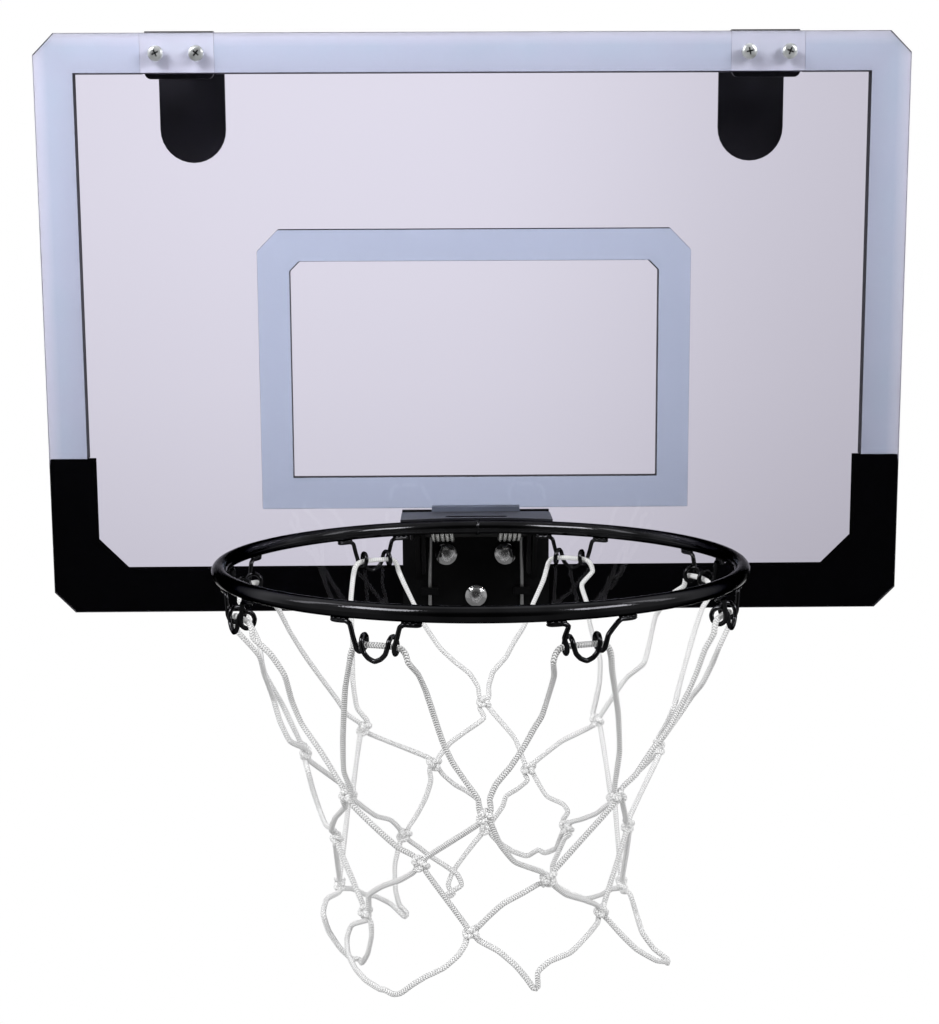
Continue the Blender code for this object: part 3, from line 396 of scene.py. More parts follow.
def foam(name, face, side, outer=None, inner=None, shine=0.4, shaded_tops=False):
    """Closed-cell foam whose cut sides are painted dark as shade. It may turn to other
    colours towards the board's outline and inwards from it, and its upward sides may be painted
    nearly black as shade."""
    made, tree, shader = blank(name)
    look = finish(tree, 1500.0, 45.0, 0.7, 0.08)
    x, _, z = axes(tree, object_place(tree))
    off_middle = maths(tree, "ABSOLUTE", x)

    # The face's colour, by the distance from the board's outline
    from_side = maths(tree, "SUBTRACT", PANEL_SIDE, off_middle)
    inward = maths(tree, "MINIMUM", from_side, maths(tree, "SUBTRACT", PANEL_TOP, z))
    cooler = tuple(c * share for c, share in zip(face, (0.95, 1.0, 0.985)))
    middle = clouded(tree, look, 0.3, 0.75, face, cooler)
    near = blended(tree, spread(tree, inward, *OUTER_FADE), (*(outer or face), 1), middle)
    whole = blended(tree, spread(tree, inward, *INNER_FADE), near, (*(inner or face), 1))

    # Painted light and shade: a little brighter to the right, and painted shade in the middle of
    # the upper part
    centre_shade_mask = spread(tree, off_middle, 0.0, 0.2, 1.0, 0.0)
    high = spread(tree, z, -0.2, 0.0, 0.2, 1.0)
    level = maths(tree, "MULTIPLY_ADD", maths(tree, "MULTIPLY", centre_shade_mask, high), -0.145,
                  spread(tree, x, -0.2, 0.2, 0.945, 1.055))
    painted_lit = node(tree, "ShaderNodeVectorMath", {0: whole, "Scale": level}, operation="SCALE")[0]

    # The cut sides carry painted shade: another grey within the top strip, and on a foam with
    # shaded tops, nearly black where they face up and a painted shadow line along the target's top
    # edge
    _, facing_y, facing_z = axes(tree, node(tree, "ShaderNodeTexCoord")["Normal"])
    upward = maths(tree, "GREATER_THAN", facing_z, 0.2)
    flat = maths(tree, "MULTIPLY_ADD", upward, 0.36 if shaded_tops else 0.0, 0.6)
    shaded_side_mask = maths(tree, "LESS_THAN", maths(tree, "ABSOLUTE", facing_y), flat)
    in_strip = maths(tree, "GREATER_THAN", z, STRIP_LOW)
    cut = blended(tree, in_strip, (*side, 1), (0.12, 0.12, 0.14, 1))
    if shaded_tops:
        top_edge_shadow_mask = maths(tree, "GREATER_THAN", z, TARGET_TOP - 0.0006)
        shaded_side_mask = maths(tree, "MAXIMUM", shaded_side_mask, top_edge_shadow_mask)
        cut = blended(tree, maths(tree, "MAXIMUM", upward, top_edge_shadow_mask), cut, (0.003, 0.003, 0.004, 1))
    covered(tree, shader, look, blended(tree, shaded_side_mask, painted_lit, cut), 0.25, 0.0002)
    feed(tree, shader, {"Specular IOR Level": shine})
    return made


def lamps_through(tree, shader):
    """Lets the lamps' light pass through the surface."""
    surface(tree, either(tree, node(tree, "ShaderNodeLightPath")["Is Shadow Ray"],
                         shader.outputs[0], node(tree, "ShaderNodeBsdfTransparent")[0]))


def clear_plastic():
    """The panel: clear, faintly lilac, with painted shade darker towards the lower right. Lamps
    shine through it.
    """
    made, tree, shader = blank("clear plastic")
    x, _, z = axes(tree, object_place(tree))
    # Painted shade: the tint darkens towards the right and towards the bottom
    across = ramp(tree, spread(tree, x, -PANEL_SIDE, PANEL_SIDE),
                  ((0, 0.955), (0.2, 1.0), (0.45, 1.0), (0.6, 0.96), (0.78, 0.835), (1, 0.74)))
    below = ramp(tree, spread(tree, z, PANEL_TOP, PANEL_BOTTOM),
                 ((0, 1.0), (0.3, 0.965), (0.6, 0.885), (0.8, 0.815), (1, 0.72)))
    both = blended(tree, 1, across, below, "MULTIPLY")
    feed(tree, shader, {"Base Color": blended(tree, 1, (0.79, 0.762, 0.882, 1), both, "MULTIPLY"),
                        "Transmission Weight": 1.0, "Roughness": 0.0, "IOR": 1.49,
                        "Specular Tint": grey(0.5)})
    lamps_through(tree, shader)
    return made


def cut_edge(name, colour):
    """The panel's sawn edge, which looks grey or dark from the front, and black at the band."""
    made, tree, shader = blank(name)
    look = finish(tree, 2500.0, 120.0, 0.35, 0.1)
    paler = tuple(c * 1.5 for c in colour)
    above_band = spread(tree, axes(tree, object_place(tree))[2], *BAND_EDGE)
    sawn = clouded(tree, look, 0.35, 0.7, colour, paler)
    covered(tree, shader, look, blended(tree, above_band, grey(0.004), sawn), 0.3, 0.0001)
    lamps_through(tree, shader)
    return made


def braided_cord(name, front_groove_shade, back_groove_shade):
    """White braid: plaited columns of V stitches, with painted shade in the grooves between them,
    greyer towards the front.
    """
    made, tree, shader = blank(name)
    along, around, _ = axes(tree, node(tree, "ShaderNodeUVMap", uv_map="UVMap")["UV"])
    column = maths(tree, "FRACT", maths(tree, "MULTIPLY", around, BRAID_COLUMNS))
    slant = maths(tree, "ABSOLUTE", maths(tree, "SUBTRACT", column, 0.5))
    stitch = maths(tree, "MULTIPLY_ADD", slant, BRAID_SLANT, along)
    wave = maths(tree, "COSINE", maths(tree, "MULTIPLY", stitch, 2 * math.pi))
    ridge = maths(tree, "MULTIPLY_ADD", wave, 0.5, 0.5)
    seam = spread(tree, slant, 0.38, 0.5, 0.0, 0.35)

    place = object_place(tree)
    fuzz = noise(tree, place, 2600.0, 2.0)
    soil = noise(tree, place, 60.0, 3.0)
    body = maths(tree, "MULTIPLY_ADD", fuzz, 0.3, maths(tree, "SUBTRACT", ridge, seam))
    # Painted shade in the grooves between stitches, greyer towards the front than at the back
    behind = spread(tree, axes(tree, place)[1], -0.275, -0.19)
    between = blended(tree, behind, grey(front_groove_shade), grey(back_groove_shade))
    stitches = blended(tree, spread(tree, body, 0.15, 0.75), between, grey(0.97))
    dimmed = blended(tree, spread(tree, soil, 0.35, 0.7, 0.0, 0.12), stitches,
                     (0.70, 0.70, 0.71, 1))
    feed(tree, shader, {"Base Color": dimmed, "Roughness": spread(tree, fuzz, 0.3, 0.7, 0.7, 0.9),
                        "Normal": bump(tree, body, 1.0, 0.0003), "Sheen Weight": 0.2})
    return made


# Modelling

def only(piece):
    """Makes the piece the only selected one."""
    bpy.ops.object.select_all(action="DESELECT")
    piece.select_set(True)
    bpy.context.view_layer.objects.active = piece


def named(name, look, angle=30):
    """Names the active piece, applies its place, gives it its material and smooths it."""
    piece = bpy.context.active_object
    piece.name = name
    piece.data.name = name
    only(piece)
    bpy.ops.object.transform_apply(location=True, rotation=True, scale=True)
    bpy.ops.object.shade_smooth_by_angle(angle=math.radians(angle))
    step = piece.modifiers.new("even normals", "WEIGHTED_NORMAL")
    step.keep_sharp = True
    bpy.ops.object.modifier_apply(modifier=step.name)
    piece.data.materials.clear()
    piece.data.materials.append(look)
    return piece


def choose(piece, wanted):
    """In edit mode with faces, selects those whose centre and normal are wanted."""
    bpy.ops.mesh.select_mode(type="FACE")
    bpy.ops.mesh.select_all(action="DESELECT")
    bpy.ops.object.mode_set(mode="OBJECT")
    for face in piece.data.polygons:
        face.select = wanted(face.center, face.normal)
    bpy.ops.object.mode_set(mode="EDIT")


def rounded(piece, width, segments=2, angle=40):
    """Rounds the sharp edges."""
    only(piece)
    step = piece.modifiers.new("round", "BEVEL")
    step.width = width
    step.segments = segments
    step.limit_method = "ANGLE"
    step.angle_limit = math.radians(angle)
    bpy.ops.object.modifier_apply(modifier=step.name)


def cylinder(sides, radius, depth, place, turn=(0, 0, 0)):
    """A new cylinder, the only selected piece."""
    bpy.ops.object.select_all(action="DESELECT")
    bpy.ops.mesh.primitive_cylinder_add(vertices=sides, radius=radius, depth=depth,
                                        location=place, rotation=turn)
    return bpy.context.active_object


def torus(rounds, sides, radius, tube, place, turn=(0, 0, 0)):
    """A new torus, the only selected piece."""
    bpy.ops.object.select_all(action="DESELECT")
    bpy.ops.mesh.primitive_torus_add(major_segments=rounds, minor_segments=sides,
                                     major_radius=radius, minor_radius=tube,
                                     location=place, rotation=turn)
    return bpy.context.active_object


def joined(first, *others):
    """Joins the other pieces to the first, which becomes the active one."""
    only(first)
    for other in others:
        other.select_set(True)
    bpy.ops.object.join()
    return first


def painted(piece, looks, number_for):
    """Adds materials, and gives each face the one whose number is asked for."""
    for look in looks:
        piece.data.materials.append(look)
    for face in piece.data.polygons:
        face.material_index = number_for(face)
    return piece


def copy_of(cad_node, name, look, round_by=0.0, segments=2):
    """A merged copy of a CAD node, with its flat faces made whole and its edges rounded."""
    piece = bpy.data.objects.new(name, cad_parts[cad_node].data.copy())
    bpy.context.scene.collection.objects.link(piece)
    only(piece)
    bpy.ops.mesh.customdata_custom_splitnormals_clear()
    bpy.ops.object.mode_set(mode="EDIT")
    bpy.ops.mesh.select_mode(type="VERT")
    bpy.ops.mesh.select_all(action="SELECT")
    bpy.ops.mesh.remove_doubles(threshold=0.00002)
    bpy.ops.mesh.dissolve_limited(angle_limit=math.radians(1))
    bpy.ops.object.mode_set(mode="OBJECT")
    if round_by:
        rounded(piece, round_by, segments)
    named(name, look)
    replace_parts(piece, cad_node)
    return piece


def wire_along(name, points, radius, look, sides=3, closed=False, swell=None):
    """A round wire along the points, made a mesh with its UV map along and around it."""
    curve = bpy.data.curves.new(name, "CURVE")
    curve.dimensions = "3D"
    curve.bevel_depth = radius
    curve.bevel_resolution = sides
    curve.use_fill_caps = not closed
    spline = curve.splines.new("POLY")
    spline.points.add(len(points) - 1)
    for number, (at, point) in enumerate(zip(points, spline.points)):
        point.co = (*at, 1)
        point.radius = swell[number] if swell else 1.0
    spline.use_cyclic_u = closed
    piece = bpy.data.objects.new(name, curve)
    bpy.context.scene.collection.objects.link(piece)
    only(piece)
    bpy.ops.object.convert(target="MESH")
    bpy.ops.object.shade_smooth_by_angle(angle=math.radians(50))
    piece.data.materials.clear()
    piece.data.materials.append(look)
    return piece


def curved(points, step, closed=False):
    """A smooth line through the points, with new ones about a step apart."""
    count = len(points)
    line = []
    for i in range(count if closed else count - 1):
        near = [points[(i + k) % count] if closed else points[min(max(i + k, 0), count - 1)]
                for k in (-1, 0, 1, 2)]
        a, b, c, d = (Vector(p) for p in near)
        length = (c - b).length
        pull = 0.5 * length
        out_way, in_way = (c - a).normalized() * pull, (d - b).normalized() * pull
        pieces = max(2, round(length / step))
        for k in range(pieces):
            t = k / pieces
            line.append(b * (2 * t ** 3 - 3 * t ** 2 + 1) + out_way * (t ** 3 - 2 * t ** 2 + t)
                        + c * (3 * t ** 2 - 2 * t ** 3) + in_way * (t ** 3 - t ** 2))
    if not closed:
        line.append(Vector(points[-1]))
    return line


def evenly(line, step):
    """A closed line's points moved to even distances along it, and its length."""
    ring = line + [line[0]]
    marks = [0.0]
    for a, b in zip(ring, ring[1:]):
        marks.append(marks[-1] + (b - a).length)
    count = max(2, round(marks[-1] / step))
    places, k = [], 0
    for i in range(count):
        want = marks[-1] * i / count
        while k < len(marks) - 2 and marks[k + 1] < want:
            k += 1
        share = (want - marks[k]) / max(marks[k + 1] - marks[k], 1e-9)
        places.append(ring[k].lerp(ring[k + 1], share))
    return places, marks[-1]


def by_ring(angle, along, inward, height):
    """A point near the ring: degrees, then metres along, in and up from its centre line."""
    turn = math.radians(angle) + along / RING_RADIUS
    reach = RING_RADIUS - inward
    return (reach * math.sin(turn), RING_Y - reach * math.cos(turn), RING_Z + height)


def by_axis(angle, out, down):
    """A point in degrees, share of the ring's radius and share of the net's length."""
    turn, radius = math.radians(angle), out * RING_RADIUS
    return (radius * math.sin(turn), RING_Y - radius * math.cos(turn), RING_Z - down * NET_LENGTH)


# Board

def make_panel(look, edge_look, corner_look):
    """The clear panel with its sawn edges, darker at the cut corners."""
    panel = copy_of("backboard_panel", "clear_panel", look, 0.0003, 1)
    bpy.ops.object.shade_flat()

    def number_for(face):
        if abs(face.normal.y) >= 0.9:
            return 0
        at = face.center
        outer = abs(at.x) > OUTLINE_SIDE or at.z > OUTLINE_TOP or at.z < OUTLINE_BOTTOM
        return 2 if outer and abs(face.normal.x) > 0.35 and abs(face.normal.z) > 0.35 else 1
    painted(panel, (edge_look, corner_look), number_for)
    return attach(panel, "board")


def make_foam(cad_node, name, look, round_by=0.00015, wider=0.0):
    """One foam piece with softened edges; a pad is pressed out against its neighbours."""
    piece = copy_of(cad_node, name, look, round_by)
    ends = [vertex.co.x for vertex in piece.data.vertices]
    middle = (min(ends) + max(ends)) / 2
    for vertex in piece.data.vertices:
        if abs(vertex.co.x - middle) > (max(ends) - min(ends)) / 2 - PAD_END:
            vertex.co.x += math.copysign(wider, vertex.co.x - middle)
    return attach(piece, "board")


def make_screws(look, recess_shade_look):
    """Pan head screws with the cross recess painted dark as shade, each turned its own way."""
    turns = (25, 50, 12, 68)
    radius, high, crown = 0.0041, 0.0028, 0.00035
    arm, taper = (0.0050, 0.00105, 0.0034), 0.35
    recess_radius, recess_low, recess_high = 0.0027, 0.0005, 0.00305
    shank_radius, shank_length, shank_middle = 0.002, 0.011, -0.0054
    under = PANEL_FRONT - GAP
    for number, ((x, z), turn) in enumerate(zip(SCREWS, turns), 1):
        head = cylinder(48, radius, high, (0, 0, high / 2))
        bpy.ops.object.mode_set(mode="EDIT")
        choose(head, lambda centre, normal: normal.z > 0.9)
        bpy.ops.mesh.inset(thickness=0.0022)
        bpy.ops.transform.translate(value=(0, 0, crown))
        bpy.ops.object.mode_set(mode="OBJECT")
        bpy.ops.object.transform_apply(location=True)
        rounded(head, 0.0013, segments=5, angle=50)
        for hand in (0, 90):
            bpy.ops.mesh.primitive_cube_add(size=1, location=(0, 0, high),
                                            rotation=(0, 0, math.radians(turn + hand)))
            cutter = bpy.context.active_object
            cutter.scale = arm
            bpy.ops.object.transform_apply(scale=True)
            bpy.ops.object.mode_set(mode="EDIT")
            choose(cutter, lambda centre, normal: normal.z < -0.9)
            bpy.ops.transform.resize(value=(taper, taper, taper),
                                     constraint_axis=(True, True, False))
            bpy.ops.object.mode_set(mode="OBJECT")
            cut = head.modifiers.new("cross", "BOOLEAN")
            cut.object = cutter
            cut.operation = "DIFFERENCE"
            only(head)
            bpy.ops.object.modifier_apply(modifier=cut.name)
            bpy.data.objects.remove(cutter)
        joined(head, cylinder(24, shank_radius, shank_length, (0, 0, shank_middle)))
        head.rotation_euler = (math.pi / 2, 0, 0)
        head.location = (x, under, z)
        screw = named(f"screw_{number}", look)

        # The cross recess takes the dark steel as painted shade
        def number_for(face):
            deep = under - recess_high < face.center.y < under - recess_low
            return int(deep and math.hypot(face.center.x - x, face.center.z - z) < recess_radius)
        painted(screw, (recess_shade_look,), number_for)
        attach(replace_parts(screw, f"hook_screw_{number}"), "board")


def make_bolts(look):
    """Low domed bolt heads with a rounded shoulder, on plain shanks."""
    rise, half, wall = 0.0038, 0.00595, 0.0017
    shank_radius, shank_length, shank_middle = 0.003, 0.0129, -0.00643
    cap = rise - wall
    ball = (half ** 2 + cap ** 2) / (2 * cap)
    for number, (x, z) in enumerate(BOLTS, 1):
        bpy.ops.object.select_all(action="DESELECT")
        bpy.ops.mesh.primitive_uv_sphere_add(segments=64, ring_count=96, radius=ball,
                                             location=(0, 0, rise - ball))
        bolt = bpy.context.active_object
        bpy.ops.object.transform_apply(location=True)
        bpy.ops.object.mode_set(mode="EDIT")
        bpy.ops.mesh.select_all(action="SELECT")
        bpy.ops.mesh.bisect(plane_co=(0, 0, wall), plane_no=(0, 0, 1), clear_inner=True,
                            use_fill=True)
        choose(bolt, lambda centre, normal: normal.z < -0.9 and centre.z < wall + 0.0001)
        bpy.ops.mesh.extrude_region_move(TRANSFORM_OT_translate={"value": (0, 0, -wall)})
        bpy.ops.object.mode_set(mode="OBJECT")
        rounded(bolt, 0.0005, segments=4, angle=25)
        shank = cylinder(32, shank_radius, shank_length, (0, 0, shank_middle))
        rounded(shank, 0.0004)
        joined(bolt, shank)
        bolt.rotation_euler = (math.pi / 2, 0, 0)
        bolt.location = (x, BRACKET_FRONT - GAP, z)
        bolt = named(f"bolt_{number}", look, 40)
        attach(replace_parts(bolt, f"mount_bolt_{number}"), "board")


def spring_route(sign):
    """The centre line of one torsion spring: inner leg, turns, outer leg."""
    points = [(SPRING_INNER, SLOT_Y, SPRING_TOP), (SPRING_INNER, SLOT_Y, SPRING_LOW),
              (SPRING_INNER, SLOT_Y + SPRING_SLANT, SPRING_BEND)]
    foot = Vector((BRACKET_FRONT - GAP - SPRING_WIRE, SPRING_FOOT))
    to_foot = foot - Vector((HINGE_Y, HINGE_Z))
    last = (math.pi / 2 - math.atan2(to_foot.x, -to_foot.y)
            + math.asin(COIL_RADIUS / to_foot.length))
    sweep = 2 * math.pi * SPRING_TURNS + last
    steps = SPRING_TURNS * COIL_STEPS + 6
    for i in range(steps + 1):
        turn = sweep * i / steps
        x = SPRING_INNER + (SPRING_OUTER - SPRING_INNER) * i / steps
        points.append((x, HINGE_Y + COIL_RADIUS * math.sin(turn),
                       HINGE_Z + COIL_RADIUS * math.cos(turn)))
    points += [(SPRING_LEG, *foot), (SPRING_LEG, foot.x, SPRING_END)]
    return [(sign * x, y, z) for x, y, z in points]


def make_springs(look, shaded_leg_look):
    """Torsion springs that twist between the board and the rim; their long legs are painted
    darker as shade.
    """
    coil_low = HINGE_Z - COIL_RADIUS - SPRING_WIRE
    for side, sign in (("left", -1), ("right", 1)):
        spring = wire_along(f"torsion_spring_{side}", spring_route(sign), SPRING_WIRE, look)
        # The legs below the coils take the darker zinc as painted shade
        painted(spring, (shaded_leg_look,), lambda face: int(face.center.z < coil_low))
        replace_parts(spring, f"spring_{side}")
        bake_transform(spring)


def make_pin(look):
    """The hinge pin with its head."""
    across = (0, math.pi / 2, 0)
    radius, length, middle = 0.0025, 0.0698, 0.0008
    head_radius, head_length = 0.004, 0.0022
    pin = cylinder(32, radius, length, (middle, HINGE_Y, HINGE_Z), across)
    rounded(pin, 0.0003)
    low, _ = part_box("hinge_pin")
    head_middle = (low.x + head_length / 2, HINGE_Y, HINGE_Z)
    head = cylinder(32, head_radius, head_length, head_middle, across)
    rounded(head, 0.0007, segments=3)
    joined(pin, head)
    pin = named("pin", look)
    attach(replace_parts(pin, "hinge_pin"), "board")


# Rim

def make_plate(look, matt_and_slot_shade_look, tongue_reflection_look):
    """The rim's sheet; the lugs below the sheet are matt, the slot's walls are painted dark as
    shade, and the tongue's upper faces are painted paler as a reflection.
    """
    plate = copy_of("rim_plate", "plate", look, 0.0003)
    slot_half, slot_wide, skin = 0.0164, 0.0021, 0.0002

    # The slot's walls take the matt coat as painted shade; the tongue's upper faces take the paler
    # coat as painted reflection
    def number_for(face):
        x, y, z = face.center
        in_slot = abs(x) < slot_half and abs(y - SLOT_Y) < slot_wide and z < PLATE_TOP - skin
        if z < RING_Z - RING_TUBE or in_slot:
            return 1
        return 2 if z > PLATE_TOP + skin else 0
    painted(plate, (matt_and_slot_shade_look, tongue_reflection_look), number_for)
    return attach(plate, "rim")


def make_ring(look):
    """The round rod ring, and the bead where its ends are welded at the back."""
    torus(240, 28, RING_RADIUS, RING_TUBE, (0, RING_Y, RING_Z))
    ring = named("ring", look, 60)
    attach(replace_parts(ring, "rim_ring"), "rim")
    bead = torus(40, 10, radius=RING_TUBE - 0.0001, tube=0.0009,
                 place=(0.0006, RING_Y + RING_RADIUS, RING_Z), turn=(0, math.pi / 2, 0.02))
    for vertex in bead.data.vertices:
        turn = math.atan2(vertex.co.y, vertex.co.x)
        vertex.co.z += 0.0002 * math.sin(5 * turn) + 0.00012 * math.sin(11 * turn + 1)
    bead = named("ring_weld", look, 60)
    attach(bead, "rim")


def net_hook_route(angle, lean):
    """The wire's line: tail, curl, valley, curl, tail. The lean moves both tails."""
    r, deep = CURL_RADIUS, -CURL_DROP
    weld = -(RING_TUBE + GAP + HOOK_WIRE)
    half = [(-WELD_REACH + WELD_LENGTH * i / 3, 0, weld) for i in range(4)]
    half += [(-WELD_REACH + WELD_LENGTH + 0.46 * r, 0, weld - 0.29 * r),
             (-CURL_REACH - CURL_PITCH / 2 - 0.31 * r, 0, deep + r)]
    for i in range(11):
        turn = 2 * math.pi * i / 10
        along = -CURL_REACH - CURL_PITCH / 2 + CURL_PITCH * i / 10
        half.append((along, r - r * math.cos(turn), deep - r * math.sin(turn)))
    half += [(-0.65 * CURL_REACH, 0, deep - 0.91 * r),
             (-0.38 * CURL_REACH, 0, -VALLEY_DROP + 0.31 * r), (0, 0, -VALLEY_DROP)]
    whole = half + [(-along, inward, height) for along, inward, height in reversed(half[:-1])]
    tail = 5
    last = len(whole) - tail
    return [by_ring(angle, along + (lean if k < tail or k >= last else 0), inward, height)
            for k, (along, inward, height) in enumerate(whole)]


def weld_bead(number, angle, along):
    """One uneven bead under the ring."""
    place = by_ring(angle, along, 0, -RING_TUBE - BEAD_SUNK)
    waves = 4000
    bpy.ops.object.select_all(action="DESELECT")
    bpy.ops.mesh.primitive_ico_sphere_add(subdivisions=3, radius=BEAD_RADIUS, location=place)
    bead = bpy.context.active_object
    bead.scale = (1.9, 1.25, 0.8)
    bead.rotation_euler = (0, 0, math.radians(angle) + along / RING_RADIUS)
    for vertex in bead.data.vertices:
        x, y, _ = vertex.co * waves
        vertex.co *= 1 + 0.07 * math.sin(x + number) * math.sin(y + 2 * number)
    bpy.ops.object.transform_apply(location=True, rotation=True, scale=True)
    bpy.ops.object.shade_smooth()
    return bead


def make_net_hooks(look):
    """Bent wire hooks, each with a weld bead along its two tails."""
    taper = (0.3, 0.75, 0.93, 1.0)
    for number, (angle, lean) in enumerate(zip(HOOK_ANGLES, HOOK_LEANS), 1):
        line = curved(net_hook_route(angle, lean), HOOK_STEP)
        count = len(line)
        swell = [taper[min(i, count - 1 - i, 3)] for i in range(count)]
        hook = wire_along(f"wire_hook_{number}", line, HOOK_COATED * HOOK_WIRE, look, 4,
                          swell=swell)
        beads = [weld_bead(number, angle, sign * (WELD_REACH - WELD_LENGTH * share) + lean)
                 for sign in (-1, 1) for share in BEAD_SHARES]
        joined(hook, *beads)
        hook.data.materials.clear()
        hook.data.materials.append(look)
        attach(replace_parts(hook, f"net_hook_{number}"), "rim")


# Net

def shares(angle, out, down):
    """A place of the tables, with its thousandths made shares."""
    return angle, out / 1000, down / 1000


def knot_pass(knot, hand, lower):
    """Three points where one cord runs through a knot, on its left (-1) or right (1)."""
    angle, out, down = shares(*knot)
    points = []
    for step in (-1, 0, 1):
        aside = KNOT_OFFSET + (0 if step == 0 else KNOT_FLARE)
        turn = angle + math.degrees(hand * aside / (out * RING_RADIUS))
        points.append(by_axis(turn, out, down + lower * step * KNOT_HALF_HEIGHT / NET_LENGTH))
    return points


def cord_route(number):
    """One closed cord through its hook's curls, down its right side and up its left."""
    angle = HOOK_ANGLES[number]
    after = (number + 1) % len(HOOK_ANGLES)
    r = CURL_RADIUS
    sag = -CURL_DROP - (r - HOOK_WIRE - CORD_RADIUS - CORD_SLACK)
    reach = CURL_REACH + CURL_PITCH / 2
    half = [(0, r, sag + 0.09 * r), (reach - 0.4 * r, r, sag + 0.03 * r),
            (reach + 0.51 * r, r, sag - 0.14 * r), (reach + 1.03 * r, r, sag - 0.74 * r),
            (reach + 1.29 * r, r, sag - 1.66 * r)]
    top = [(-along, inward, height) for along, inward, height in reversed(half)] + half[1:]
    bottom = Vector(by_axis(*shares(*LOOPS[number])))
    turn = math.radians(LOOPS[number][0])
    aside = Vector((math.cos(turn), math.sin(turn), 0)) * LOOP_HALF_WIDTHS[number]
    lift = Vector((0, 0, LOOP_LIFT))
    lowest = [bottom + aside + lift, bottom, bottom - aside + lift]
    stops = [knot_pass(ROW_1[after], -1, 1), knot_pass(ROW_2[number], 1, 1),
             knot_pass(ROW_3[after], -1, 1), lowest, knot_pass(ROW_3[number], 1, -1),
             knot_pass(ROW_2[number], -1, -1), knot_pass(ROW_1[number], 1, -1), []]
    route = [by_ring(angle, *point) for point in top]
    for stretch, stop in enumerate(stops):
        route += [by_axis(*shares(*place)) for place in BENDS.get((number + 1, stretch), ())]
        route += stop
    return route


def laid(piece, length):
    """Stretches the UV map so that each braid cell is one unit along the cord."""
    cells = max(1, round(length / BRAID_CELL))
    for corner in piece.data.uv_layers["UVMap"].data:
        corner.uv.x *= cells


def hang(piece):
    """Applies the piece's place to its mesh; the net is attached to no body."""
    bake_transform(piece)
    return piece


def make_cords(look):
    """Closed cords with the slight swellings of a soft hollow braid."""
    for number in range(len(HOOK_ANGLES)):
        line, length = evenly(curved(cord_route(number), ROUTE_STEP, True), CORD_STEP)
        swell = [1.02 + 0.05 * math.sin(i * 0.071 * (1 + number % 3) + number)
                 + 0.03 * math.sin(i * 0.31 + 2 * number) for i in range(len(line))]
        cord = wire_along(f"cord_{number + 1}", line, CORD_RADIUS, look, 4, True, swell)
        laid(cord, length)
        hang(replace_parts(cord, f"net_cord_{number + 1}"))


def make_knots(look):
    """An overhand knot of the same cord on each crossing, each turned its own way."""
    for row, knots in enumerate((ROW_1, ROW_2, ROW_3), 1):
        for number, place in enumerate(knots, 1):
            middle = Vector(by_axis(*shares(*place)))
            turn = math.radians(place[0])
            wide = Vector((math.cos(turn), math.sin(turn), 0))
            deep = Vector((math.sin(turn), -math.cos(turn), 0))
            lean = math.radians(24 * math.sin(3.1 * number + 5.3 * row))
            size = 1 + 0.07 * math.sin(1.7 * number + 2.9 * row)
            side = wide * math.cos(lean) + Vector((0, 0, math.sin(lean)))
            up = Vector((0, 0, math.cos(lean))) - wide * math.sin(lean)
            turned = 2.1 * number + 0.9 * row
            line = []
            for i in range(KNOT_STEPS):
                t = 2 * math.pi * i / KNOT_STEPS
                x, y = math.sin(t) + 2 * math.sin(2 * t), math.cos(t) - 2 * math.cos(2 * t)
                along = x * math.cos(turned) - y * math.sin(turned)
                above = x * math.sin(turned) + y * math.cos(turned)
                line.append(middle + size * (side * KNOT_WIDTH * along + up * KNOT_HEIGHT * above
                                             - deep * KNOT_DEPTH * math.sin(3 * t)))
            places, length = evenly(line, KNOT_STEP)
            knot = wire_along(f"knot_{row}_{number}", places, KNOT_CORD, look, closed=True)
            laid(knot, length)
            hang(knot)


# Stage

def unbounced(tree, path):
    """1 for a ray that comes straight or through clear plastic, without any other bounce."""
    bounces = maths(tree, "ADD", path["Glossy Depth"], path["Diffuse Depth"])
    return maths(tree, "LESS_THAN", bounces, 0.5)


def make_floor():
    """A plain pale floor well below the hoop. It looks white to the camera, also through the
    panel, and dim in mirrors."""
    bpy.ops.object.select_all(action="DESELECT")
    bpy.ops.mesh.primitive_circle_add(vertices=96, radius=FLOOR_RADIUS, fill_type="NGON",
                                      location=(0, 0, FLOOR_Z))
    floor = bpy.context.active_object
    floor.name = "floor"
    made, tree, shader = blank("pale floor")
    feed(tree, shader, {"Base Color": grey(0.8), "Roughness": 0.9})
    path = node(tree, "ShaderNodeLightPath")
    glossy, transmitted = path["Is Glossy Ray"], path["Is Transmission Ray"]
    place = object_place(tree)

    behind = maths(tree, "GREATER_THAN", axes(tree, place)[1], FLOOR_BACK)
    through = maths(tree, "MULTIPLY", transmitted,
                    maths(tree, "MAXIMUM", behind, unbounced(tree, path)))
    seen = maths(tree, "MAXIMUM", path["Is Camera Ray"], through)
    distance = node(tree, "ShaderNodeVectorMath", {0: place}, operation="LENGTH")["Value"]
    near = spread(tree, distance, 0.3, 1.6, 0.88, 1.0)
    shown = either(tree, maths(tree, "MULTIPLY", seen, near), shader.outputs[0],
                   node(tree, "ShaderNodeEmission")[0])

    mirror_only = maths(tree, "GREATER_THAN", maths(tree, "SUBTRACT", glossy, transmitted), 0.5)
    dim = node(tree, "ShaderNodeEmission",
               {"Color": spread(tree, mirror_only, 0.0, 1.0, 0.035, 0.17)})[0]
    sharp = maths(tree, "MAXIMUM", glossy, transmitted)
    surface(tree, either(tree, maths(tree, "SUBTRACT", sharp, through), shown, dim))
    floor.data.materials.append(made)


